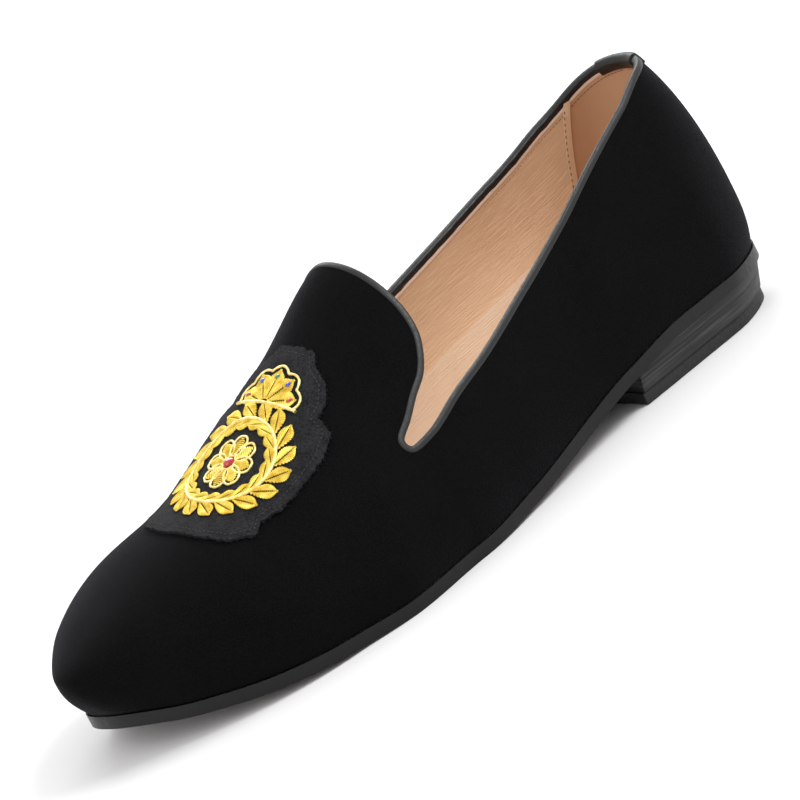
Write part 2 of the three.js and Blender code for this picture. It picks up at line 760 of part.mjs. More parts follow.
const petalEdge = (angle) => flowerRadius - petalDepth * (1 - Math.abs(Math.cos((angle * petalCount) / 2)));
const flowerPoints = petalCount * petalPoints;
const flowerOutline = turnedOutline(wreathCentre, flowerPoints, petalEdge, petalEdge, 0, 2 * Math.PI);
shoe.add(meshOf('badge_flower', vampLayer(flowerOutline, emblemLift, emblemThickness), goldThread));

const fanCentre = new THREE.Vector2(wreathCentre.x, wreathCentre.y + wreathLength / 2 + 2 * seatGap);
const lobeEdge = (angle) => fanRadius - lobeDepth * (1 - Math.abs(Math.sin(angle * fanLobes)));
const fanPoints = fanLobes * petalPoints;
const fanArc = turnedOutline(fanCentre, fanPoints, lobeEdge, lobeEdge, Math.PI / fanPoints, Math.PI);
shoe.add(meshOf('badge_fan', vampLayer(fanArc, emblemLift, emblemThickness), goldThread));

export default shoe;
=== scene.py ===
"""Velvet slipper loafer, left shoe, dressed for a studio picture.

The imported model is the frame. Every piece here is built in metres on the same last as the solids:
toe towards -Y, outer side towards +X, the floor at Z = 0.
"""

import json
import logging
import math
from dataclasses import dataclass
from enum import Enum
from typing import Callable, NamedTuple, Sequence

import bpy
import numpy as np
from mathutils import Matrix, Vector

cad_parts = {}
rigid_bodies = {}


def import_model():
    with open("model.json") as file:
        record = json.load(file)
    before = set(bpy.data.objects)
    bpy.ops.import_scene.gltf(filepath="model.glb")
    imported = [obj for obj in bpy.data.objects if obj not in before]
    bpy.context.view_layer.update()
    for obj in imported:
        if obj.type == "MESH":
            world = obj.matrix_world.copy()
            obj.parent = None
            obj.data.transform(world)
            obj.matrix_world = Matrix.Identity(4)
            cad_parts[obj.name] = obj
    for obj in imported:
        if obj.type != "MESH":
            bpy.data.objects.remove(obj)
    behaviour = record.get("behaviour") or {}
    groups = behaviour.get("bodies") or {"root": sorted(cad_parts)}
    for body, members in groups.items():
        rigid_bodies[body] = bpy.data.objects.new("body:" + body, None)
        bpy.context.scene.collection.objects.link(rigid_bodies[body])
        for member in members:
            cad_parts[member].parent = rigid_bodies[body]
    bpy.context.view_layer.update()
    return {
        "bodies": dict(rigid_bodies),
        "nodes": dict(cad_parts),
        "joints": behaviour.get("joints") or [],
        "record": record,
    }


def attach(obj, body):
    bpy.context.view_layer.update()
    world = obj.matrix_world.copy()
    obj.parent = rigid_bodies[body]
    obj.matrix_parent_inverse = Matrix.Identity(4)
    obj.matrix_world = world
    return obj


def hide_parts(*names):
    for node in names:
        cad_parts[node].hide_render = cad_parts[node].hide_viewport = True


LOG = logging.getLogger("slipper")
MM = 0.001
ROOT = "root"
UP = np.array([0, 0, 1.0])
FINE_STEPS = 2400

Shade = tuple[float, float, float]
Pair = tuple[Shade, Shade]


class PlanRow(NamedTuple):
    """The last in plan: widths as shares of the width that applies there."""

    at: float
    ball: float
    outer: float
    inner: float
    shift: float


class SideRow(NamedTuple):
    """The last from the side: heights as shares of the last's own rises."""

    at: float
    bulge: float
    crown: float
    seat: float
    spring: float
    round: float


class TopRow(NamedTuple):
    """The quarters' topline: heights as shares of the quarter's rise."""

    along: float
    outer: float
    inner: float


class TongueRow(NamedTuple):
    """The tongue's edge: back as a share of its reach, rise as a share of its height."""

    back: float
    rise: float


PLAN = (
    PlanRow(0.00, 0.00, 0.490, 0.490, 0.000),
    PlanRow(0.06, 0.00, 0.475, 0.490, 0.000),
    PlanRow(0.12, 0.00, 0.500, 0.500, 0.000),
    PlanRow(0.20, 0.00, 0.515, 0.500, 0.000),
    PlanRow(0.30, 0.00, 0.530, 0.478, 0.000),
    PlanRow(0.40, 0.35, 0.480, 0.404, 0.000),
    PlanRow(0.50, 0.70, 0.483, 0.393, 0.000),
    PlanRow(0.60, 1.00, 0.480, 0.431, 0.000),
    PlanRow(0.70, 1.00, 0.505, 0.495, 0.000),
    PlanRow(0.78, 1.00, 0.466, 0.510, -0.01),
    PlanRow(0.86, 1.00, 0.441, 0.490, -0.04),
    PlanRow(0.93, 1.00, 0.382, 0.420, -0.06),
    PlanRow(1.00, 1.00, 0.314, 0.314, -0.07),
)

SIDE = (
    SideRow(0.00, 1.10, 1.155, 1.00, 0.00, 2.20),
    SideRow(0.06, 1.03, 1.100, 1.00, 0.00, 2.10),
    SideRow(0.12, 0.94, 1.000, 1.00, 0.00, 2.00),
    SideRow(0.20, 0.88, 0.980, 1.00, 0.00, 2.00),
    SideRow(0.30, 0.90, 0.990, 0.77, 0.00, 2.00),
    SideRow(0.40, 1.00, 1.020, 0.40, 0.00, 2.00),
    SideRow(0.50, 1.03, 1.000, 0.13, 0.00, 1.90),
    SideRow(0.60, 0.94, 0.851, 0.00, 0.00, 1.85),
    SideRow(0.70, 0.85, 0.696, 0.00, 0.00, 1.90),
    SideRow(0.78, 0.90, 0.583, 0.00, 0.07, 2.00),
    SideRow(0.86, 1.00, 0.518, 0.00, 0.25, 2.10),
    SideRow(0.93, 0.98, 0.430, 0.00, 0.55, 2.20),
    SideRow(1.00, 0.78, 0.315, 0.00, 1.00, 2.20),
)

TOPLINE = (
    TopRow(0.045, 0.500, 0.500),
    TopRow(0.13, 0.544, 0.554),
    TopRow(0.23, 0.569, 0.639),
    TopRow(0.34, 0.600, 0.706),
    TopRow(0.44, 0.630, 0.717),
    TopRow(0.54, 0.680, 0.722),
    TopRow(0.63, 0.740, 0.735),
    TopRow(0.72, 0.812, 0.775),
    TopRow(0.79, 0.868, 0.822),
    TopRow(0.86, 0.930, 0.868),
    TopRow(0.94, 0.962, 0.962),
    TopRow(1.00, 1.000, 1.000),
    TopRow(1.10, 1.010, 1.010),
)

TONGUE = (
    TongueRow(0.14, 0.145),
    TongueRow(0.36, 0.23),
    TongueRow(0.60, 0.31),
    TongueRow(0.76, 0.40),
    TongueRow(0.88, 0.50),
    TongueRow(0.96, 0.64),
    TongueRow(0.99, 0.78),
    TongueRow(1.00, 0.90),
    TongueRow(1.00, 1.00),
)

# Outline of the felt patch, right half from the back to the front, as shares of its half sizes
PATCH_HALF = (
    (0.26, 1.00),
    (0.34, 0.90),
    (0.57, 0.79),
    (0.69, 0.62),
    (0.70, 0.48),
    (0.91, 0.42),
    (1.00, 0.17),
    (0.99, -0.06),
    (0.94, -0.34),
    (0.84, -0.62),
    (0.90, -0.74),
    (0.70, -0.92),
    (0.30, -1.00),
)


def smooth_column(rows: Sequence[NamedTuple], name: str, at: np.ndarray) -> np.ndarray:
    """Reads one column between its rows, smoothly and with no overshoot.

    Args:
        rows: a table whose first column is the place.
        name: the column to read.
        at: the places to read it at.

    Returns:
        The column's values there.
    """
    places = np.array([row[0] for row in rows])
    values = np.array([getattr(row, name) for row in rows])
    slopes = np.diff(values) / np.diff(places)
    tangents = np.zeros_like(values)
    before, after = slopes[:-1], slopes[1:]
    agree = before * after > 0
    tangents[1:-1][agree] = 2 * before[agree] * after[agree] / (before + after)[agree]
    at = np.clip(np.asarray(at, float), places[0], places[-1])
    i = np.clip(np.searchsorted(places, at, side="right") - 1, 0, len(places) - 2)
    span = places[i + 1] - places[i]
    t = (at - places[i]) / span
    rise = (3 - 2 * t) * t * t
    return (
        (1 - rise) * values[i]
        + rise * values[i + 1]
        + t * (1 - t) ** 2 * span * tangents[i]
        - t * t * (1 - t) * span * tangents[i + 1]
    )


def centripetal_line(points: np.ndarray, steps: int) -> np.ndarray:
    """Smooth line through all the points, with even steps between them.

    Args:
        points: the points, one a row.
        steps: how many stretches the whole line gets.

    Returns:
        steps + 1 points on the line.
    """
    ends = np.vstack([2 * points[0] - points[1], points, 2 * points[-1] - points[-2]])
    line = []
    last = len(points) - 1
    for step in range(steps + 1):
        place = step * last / steps
        i = min(int(place), last - 1)
        t = place - i
        p0, p1, p2, p3 = ends[i : i + 4]
        d0, d1, d2 = (math.sqrt(np.linalg.norm(b - a)) for a, b in ((p0, p1), (p1, p2), (p2, p3)))
        m1 = ((p1 - p0) / d0 - (p2 - p0) / (d0 + d1) + (p2 - p1) / d1) * d1
        m2 = ((p2 - p1) / d1 - (p3 - p1) / (d1 + d2) + (p3 - p2) / d2) * d1
        line.append(
            p1
            + m1 * t
            + (3 * (p2 - p1) - 2 * m1 - m2) * t**2
            + (2 * (p1 - p2) + m1 + m2) * t**3
        )
    return np.array(line)


class Sizes(NamedTuple):
    """Sizes of the last's section at each place."""

    middle: np.ndarray
    outer: np.ndarray
    inner: np.ndarray
    widest: np.ndarray
    above: np.ndarray
    below: np.ndarray
    round: np.ndarray


@dataclass(frozen=True)
class Last:
    """The form that the shoe is made on, as in the part's own source."""

    length: float = 290 * MM
    ball_width: float = 102 * MM
    heel_width: float = 67 * MM
    heel_cap: float = 0.125
    toe_cap: float = 0.2
    instep_rise: float = 84 * MM
    bulge_rise: float = 16 * MM
    undercut: float = 2.2
    undercut_power: float = 2.5
    heel_lift: float = 13 * MM
    toe_spring: float = 12 * MM
    sole_thickness: float = 4.2 * MM
    side_shift: float = 0.95 * MM
    quarter_rise: float = 73 * MM
    notch_at: float = 0.612
    notch_height: float = 35.6 * MM
    notch_radius: float = 2.3 * MM
    notch_start: float = 0.62
    notch_sweep: float = 0.9
    notch_steps: int = 7
    tongue_reach: float = 30.1 * MM
    overrun: float = 50 * MM

    def lengthwise(self, at: np.ndarray) -> np.ndarray:
        """Y of a place along the shoe."""
        return self.length * (0.5 - at)

    def share(self, y: np.ndarray) -> np.ndarray:
        """Place along the shoe at a Y."""
        return 0.5 - np.asarray(y, float) / self.length

    def underside(self, at: np.ndarray) -> np.ndarray:
        """Height of the sole's underside."""
        seat = smooth_column(SIDE, "seat", at)
        return self.heel_lift * seat + self.toe_spring * smooth_column(SIDE, "spring", at)

    def sole_top(self, at: np.ndarray) -> np.ndarray:
        """Height of the sole's upper face."""
        return self.underside(at) + self.sole_thickness

    def sizes(self, at: np.ndarray, grow: np.ndarray) -> Sizes:
        """Works out the sections, made larger all round by grow.

        Args:
            at: places along the shoe.
            grow: how much larger the last is there, in metres.

        Returns:
            The sections' sizes.
        """
        at = np.asarray(at, float)
        ball = smooth_column(PLAN, "ball", at)
        width = self.heel_width + (self.ball_width - self.heel_width) * ball
        heel = np.maximum(0, (self.heel_cap - at) / self.heel_cap)
        toe = np.maximum(0, (at - 1 + self.toe_cap) / self.toe_cap)
        close = np.sqrt(np.maximum(0, 1 - np.maximum(heel, toe) ** 2))
        bulge = self.bulge_rise * smooth_column(SIDE, "bulge", at)
        crown = self.instep_rise * smooth_column(SIDE, "crown", at)
        return Sizes(
            middle=self.ball_width * smooth_column(PLAN, "shift", at) + self.side_shift,
            outer=(width * smooth_column(PLAN, "outer", at) + grow) * close,
            inner=(width * smooth_column(PLAN, "inner", at) + grow) * close,
            widest=self.sole_top(at) + bulge,
            above=(crown - bulge + grow) * close,
            below=(bulge * self.undercut + grow) * close,
            round=smooth_column(SIDE, "round", at),
        )

    def point(self, at: np.ndarray, turn: np.ndarray, grow: np.ndarray) -> np.ndarray:
        """Points of the last.

        Args:
            at: places along the shoe.
            turn: turns round the section, 0 at the outer side and a quarter turn at the crown.
            grow: how much larger the last is there, in metres.

        Returns:
            One point a row.
        """
        size = self.sizes(at, grow)
        across, up = np.cos(turn), np.sin(turn)
        power = 2 / np.where(up >= 0, size.round, self.undercut_power)
        half = np.where(across >= 0, size.outer, size.inner)
        x = size.middle + np.sign(across) * half * np.abs(across) ** power
        rise = np.where(up >= 0, size.above, -size.below)
        z = size.widest + rise * np.abs(up) ** power
        y = (0.5 - np.asarray(at, float)) * (self.length + 2 * np.asarray(grow, float))
        return np.stack(np.broadcast_arrays(x, y, z), axis=-1)

    def footprint(self, at: np.ndarray, side: np.ndarray, grow: float) -> np.ndarray:
        """Half width where the last meets the sole, 0 past its ends."""
        size = self.sizes(at, grow)
        drop = (size.widest - self.sole_top(at)) / np.maximum(size.below, 1e-9)
        half = np.where(np.asarray(side) > 0, size.outer, size.inner)
        power = self.undercut_power
        return half * np.maximum(0, 1 - np.minimum(drop, 1) ** power) ** (1 / power)

    def footprint_ends(self, grow: float) -> tuple[float, float]:
        """Places where the footprint closes, at the heel and at the toe."""
        fine = np.linspace(0, 1, 4001)
        open_at = fine[self.footprint(fine, 1, grow) > 0]
        return float(open_at[0]), float(open_at[-1])

    def height(self, x: np.ndarray, y: np.ndarray) -> np.ndarray:
        """Height of the last's upper half over a point in plan."""
        size = self.sizes(self.share(y), 0.0)
        half = np.where(x >= size.middle, size.outer, size.inner)
        across = np.minimum(1, np.abs(x - size.middle) / half)
        return size.widest + size.above * (1 - across**size.round) ** (1 / size.round)

    def over(self, x: np.ndarray, y: np.ndarray, lift: np.ndarray) -> np.ndarray:
        """Points a given distance off the vamp.

        Args:
            x, y: places in plan.
            lift: distance off the last, along its normal.

        Returns:
            One point a row.
        """
        x, y, lift = np.broadcast_arrays(np.asarray(x, float), np.asarray(y, float), lift)
        step = 0.2 * MM
        slope_x = (self.height(x + step, y) - self.height(x - step, y)) / (2 * step)
        slope_y = (self.height(x, y + step) - self.height(x, y - step)) / (2 * step)
        normal = np.stack([-slope_x, -slope_y, np.ones_like(slope_x)], axis=-1)
        normal /= np.linalg.norm(normal, axis=-1, keepdims=True)
        return np.stack([x, y, self.height(x, y)], axis=-1) + normal * lift[..., None]

    def wall(self, y: np.ndarray, z: np.ndarray, side: int, grow: float) -> np.ndarray:
        """Points on a side wall.

        Args:
            y: how far along the shoe.
            z: how high.
            side: 1 for the outer wall, -1 for the inner wall.
            grow: how much larger the last is there, in metres.

        Returns:
            One point a row.
        """
        size = self.sizes(0.5 - y / (self.length + 2 * grow), grow)
        rise = z - size.widest
        tall = np.where(rise >= 0, size.above, size.below)
        power = np.where(rise >= 0, size.round, self.undercut_power)
        share = np.clip(np.abs(rise) / tall, 0, 1)
        half = size.outer if side > 0 else size.inner
        x = size.middle + side * half * (1 - share**power) ** (1 / power)
        return np.stack(np.broadcast_arrays(x, y, z), axis=-1)

    def outward(self, at: np.ndarray, turn: np.ndarray) -> np.ndarray:
        """Directions straight out of the last."""
        step = 1e-3
        along = self.point(at + step, turn, 0.0) - self.point(at - step, turn, 0.0)
        round_ = self.point(at, turn + step, 0.0) - self.point(at, turn - step, 0.0)
        normal = np.cross(round_, along)
        return normal / np.linalg.norm(normal, axis=-1, keepdims=True)

    def opening_line(self, side: str, steps: int) -> np.ndarray:
        """Edge of the opening from the side: down the tongue, round the notch, along the quarter.

        Args:
            side: "outer" or "inner".
            steps: how many stretches the line gets.

        Returns:
            Points in Y and Z.
        """
        notch_y = self.lengthwise(self.notch_at)
        notch_z = float(self.sole_top(self.notch_at)) + self.notch_height
        tongue_y = notch_y + self.tongue_reach
        at = self.share(tongue_y)
        crown_z = float(self.sole_top(at) + self.instep_rise * smooth_column(SIDE, "crown", at))
        points = [(tongue_y, crown_z + self.overrun)]
        for row in reversed(TONGUE):
            points.append(
                (notch_y + self.tongue_reach * row.back, notch_z + (crown_z - notch_z) * row.rise)
            )
        for i in range(1, self.notch_steps):
            angle = math.pi * (self.notch_start + self.notch_sweep * i / self.notch_steps)
            radius = self.notch_radius
            points.append(
                (notch_y + radius * math.cos(angle), notch_z + radius + radius * math.sin(angle))
            )
        back = self.length / 2 - notch_y
        for row in TOPLINE:
            y = notch_y + back * row.along
            rise = self.quarter_rise * getattr(row, side)
            points.append((y, float(self.sole_top(self.share(y))) + rise))
        return centripetal_line(np.array(points), steps)

    def opening_edge(self, side: str, steps: int) -> np.ndarray:
        """Edge of the opening on one side of the last, from the tongue to the heel."""
        line = self.opening_line(side, steps)
        y, z = line[:, 0], line[:, 1]
        at = self.share(y)
        size = self.sizes(np.clip(at, 0, 1), 0.0)
        with np.errstate(divide="ignore", invalid="ignore"):
            up = (z - size.widest) / size.above
        keep = (at > 0) & (up < 1)
        sign = 1 if side == "outer" else -1
        half = size.outer if sign > 0 else size.inner
        across = half * (1 - np.clip(up, 0, 1) ** size.round) ** (1 / size.round)
        return np.stack([size.middle + sign * across, y, z], axis=-1)[keep]

    def opening_loop(self, spacing: float) -> np.ndarray:
        """The whole edge of the opening as a loop of evenly spaced points."""
        outer = self.opening_edge("outer", FINE_STEPS)
        inner = self.opening_edge("inner", FINE_STEPS)
        return even_points(np.vstack([outer, inner[::-1]]), spacing, closed=True)

    def turn_of(self, points: np.ndarray) -> tuple[np.ndarray, np.ndarray]:
        """Place and turn of points on the last's upper half."""
        at = np.clip(self.share(points[:, 1]), 5e-4, 1 - 5e-4)
        size = self.sizes(at, 0.0)
        away = points[:, 0] - size.middle
        half = np.where(away >= 0, size.outer, size.inner)
        across = np.minimum(1, np.abs(away) / half) ** (size.round / 2)
        up = np.clip((points[:, 2] - size.widest) / size.above, 0, 1) ** (size.round / 2)
        return at, np.arctan2(up, np.sign(away) * across)


def even_points(points: np.ndarray, spacing: float, closed: bool) -> np.ndarray:
    """Points at even distances along a line.

    Args:
        points: the line.
        spacing: about how far apart the new points are.
        closed: whether the line runs back to its start.

    Returns:
        The new points.
    """
    line = np.vstack([points, points[:1]]) if closed else points
    run = np.concatenate([[0], np.cumsum(np.linalg.norm(np.diff(line, axis=0), axis=1))])
    count = max(2, round(run[-1] / spacing))
    wanted = np.linspace(0, run[-1], count + 1)
    if closed:
        wanted = wanted[:-1]
    return np.stack([np.interp(wanted, run, line[:, k]) for k in range(line.shape[1])], axis=-1)


def edge_frames(last: Last, points: np.ndarray, closed: bool) -> tuple[np.ndarray, np.ndarray]:
    """Directions at each point of an edge.

    Args:
        last: the form.
        points: the edge.
        closed: whether it is a loop.

    Returns:
        Out of the wall, and down away from the opening.
    """
    if closed:
        along = np.roll(points, -1, axis=0) - np.roll(points, 1, axis=0)
    else:
        along = np.gradient(points, axis=0)
    along /= np.linalg.norm(along, axis=1, keepdims=True)
    out = last.outward(*last.turn_of(points))
    down = np.cross(along, out)
    down /= np.linalg.norm(down, axis=1, keepdims=True)
    out = np.cross(down, along)
    return out / np.linalg.norm(out, axis=1, keepdims=True), down


def heading(angle: float) -> tuple[np.ndarray, np.ndarray]:
    """Directions in plan, along an angle and square to it."""
    ahead = np.array([math.cos(angle), math.sin(angle)])
    return ahead, np.array([-ahead[1], ahead[0]])


def deselect() -> None:
    """Nothing selected, and no active object."""
    for thing in bpy.context.selected_objects:
        thing.select_set(False)
    bpy.context.view_layer.objects.active = None


def take(name: str) -> bpy.types.Object:
    """Names the primitive that was just added, and its mesh."""
    thing = bpy.context.object
    thing.name = name
    thing.data.name = name
    return thing


def choose(thing: bpy.types.Object) -> None:
    """Selects one object alone."""
    deselect()
    thing.select_set(True)
    bpy.context.view_layer.objects.active = thing


def coordinates(thing: bpy.types.Object) -> np.ndarray:
    """Places of an object's vertices."""
    flat = np.empty(len(thing.data.vertices) * 3)
    thing.data.vertices.foreach_get("co", flat)
    return flat.reshape(-1, 3)


def shape(thing: bpy.types.Object, places: np.ndarray) -> None:
    """Moves an object's vertices to their places."""
    thing.data.vertices.foreach_set("co", np.asarray(places, float).ravel())
    thing.data.update()


def finish_modifier(thing: bpy.types.Object, kind: str, **settings: object) -> None:
    """Adds a modifier with its settings and applies it."""
    choose(thing)
    modifier = thing.modifiers.new(kind.title(), kind)
    for key, value in settings.items():
        setattr(modifier, key, value)
    bpy.ops.object.modifier_apply(modifier=modifier.name)


def bevel(
    thing: bpy.types.Object, width: float, segments: int, angle: float, **settings: object
) -> None:
    """Eases the edges that turn by more than an angle in degrees."""
    limit = {"limit_method": "ANGLE", "angle_limit": math.radians(angle)}
    finish_modifier(thing, "BEVEL", width=width, segments=segments, **limit, **settings)


def edit(thing: bpy.types.Object, *steps: Callable[[], object]) -> None:
    """Runs edit-mode operators, in order, on a whole piece."""
    choose(thing)
    bpy.ops.object.mode_set(mode="EDIT")
    bpy.ops.mesh.select_all(action="SELECT")
    for step in steps:
        step()
    bpy.ops.object.mode_set(mode="OBJECT")


def weld(distance: float = 0.02 * MM) -> Callable[[], object]:
    """Step that merges vertices that lie together."""
    return lambda: bpy.ops.mesh.remove_doubles(threshold=distance)


def face_out() -> object:
    """Step that turns all faces outwards."""
    return bpy.ops.mesh.normals_make_consistent(inside=False)


def draw_out(
    thing: bpy.types.Object, way: tuple[float, float, float], *before: Callable[[], object]
) -> None:
    """Draws a thin piece out into a block.

    Args:
        thing: the piece.
        way: how far the copy of its faces moves along X, Y and Z.
        before: steps to run first.
    """
    edit(
        thing,
        *before,
        lambda: bpy.ops.mesh.extrude_region_move(TRANSFORM_OT_translate={"value": way}),
        lambda: bpy.ops.mesh.select_all(action="SELECT"),
        face_out,
    )


def drop_faces(thing: bpy.types.Object, unwanted: np.ndarray) -> None:
    """Deletes the faces that are marked, one mark for each face."""
    choose(thing)
    bpy.ops.object.mode_set(mode="EDIT")
    bpy.ops.mesh.select_mode(type="FACE")
    bpy.ops.mesh.select_all(action="DESELECT")
    bpy.ops.object.mode_set(mode="OBJECT")
    thing.data.polygons.foreach_set("select", unwanted.astype(bool))
    bpy.ops.object.mode_set(mode="EDIT")
    bpy.ops.mesh.delete(type="FACE")
    bpy.ops.mesh.select_mode(type="VERT")
    bpy.ops.object.mode_set(mode="OBJECT")


def face_centres(thing: bpy.types.Object) -> tuple[np.ndarray, np.ndarray]:
    """Middles and normals of an object's faces."""
    count = len(thing.data.polygons)
    middle, normal = np.empty(count * 3), np.empty(count * 3)
    thing.data.polygons.foreach_get("center", middle)
    thing.data.polygons.foreach_get("normal", normal)
    return middle.reshape(-1, 3), normal.reshape(-1, 3)


def border_vertices(thing: bpy.types.Object) -> np.ndarray:
    """Vertices on edges that have one face only."""
    mesh = thing.data
    used = np.empty(len(mesh.loops), np.int32)
    mesh.loops.foreach_get("edge_index", used)
    ends = np.empty(len(mesh.edges) * 2, np.int32)
    mesh.edges.foreach_get("vertices", ends)
    single = np.bincount(used, minlength=len(mesh.edges)) == 1
    return np.unique(ends.reshape(-1, 2)[single])


def smooth(thing: bpy.types.Object, angle: float = 40.0) -> None:
    """Smooth shading, with edges kept where the surface turns by more than the angle."""
    choose(thing)
    bpy.ops.object.shade_smooth_by_angle(angle=math.radians(angle))


def grid(name: str, across: int, along: int) -> tuple[bpy.types.Object, np.ndarray, np.ndarray]:
    """A flat grid to shape.

    Args:
        name: the piece.
        across: faces from side to side.
        along: faces from end to end.

    Returns:
        The object, and each vertex's share from -1 to 1 across and from 0 to 1 along.
    """
    deselect()
    bpy.ops.mesh.primitive_grid_add(x_subdivisions=across, y_subdivisions=along, size=2)
    thing = take(name)
    places = coordinates(thing)
    return thing, places[:, 0], (places[:, 1] + 1) / 2


def tube(name: str, sections: np.ndarray, closed: bool) -> bpy.types.Object:
    """A tube whose sections are given.

    Args:
        name: the piece.
        sections: points of each section, as sections x points x 3.
        closed: whether the last section meets the first. Otherwise both ends are capped.

    Returns:
        The piece.
    """
    wrapped = np.concatenate([sections, sections[:, :1]], axis=1)
    if closed:
        wrapped = np.concatenate([wrapped, wrapped[:1]])
    along, around = wrapped.shape[0] - 1, wrapped.shape[1] - 1
    thing, _, _ = grid(name, around, along)
    shape(thing, wrapped.reshape(-1, 3))
    steps = [weld(0.002 * MM)]
    if not closed:
        steps.append(lambda: bpy.ops.mesh.fill_holes(sides=0))
        steps.append(lambda: bpy.ops.mesh.select_all(action="SELECT"))
    edit(thing, *steps, face_out)
    return thing


def dress(thing: bpy.types.Object, slot: str, *materials: bpy.types.Material) -> None:
    """Gives a finished piece its materials and its body."""
    for i, material in enumerate(materials):
        if i < len(thing.data.materials):
            thing.data.materials[i] = material
        else:
            thing.data.materials.append(material)
    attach(thing, ROOT)
    LOG.info("%s: %d faces", thing.name, len(thing.data.polygons))


class Socket(Enum):
    """Sockets of the surface shader that the finishes set."""

    COLOUR = "Base Color"
    ROUGHNESS = "Roughness"
    METALLIC = "Metallic"
    SHEEN = "Sheen Weight"
    SHEEN_ROUGHNESS = "Sheen Roughness"
    SHEEN_TINT = "Sheen Tint"
    COAT = "Coat Weight"
    COAT_ROUGHNESS = "Coat Roughness"
    SPECULAR = "Specular IOR Level"
    NORMAL = "Normal"


def linear(red: float, green: float, blue: float) -> tuple[float, float, float, float]:
    """Linear colour from screen values of 0 to 255."""
    values = (v / 255 for v in (red, green, blue))
    return (*(v / 12.92 if v <= 0.04045 else ((v + 0.055) / 1.055) ** 2.4 for v in values), 1.0)


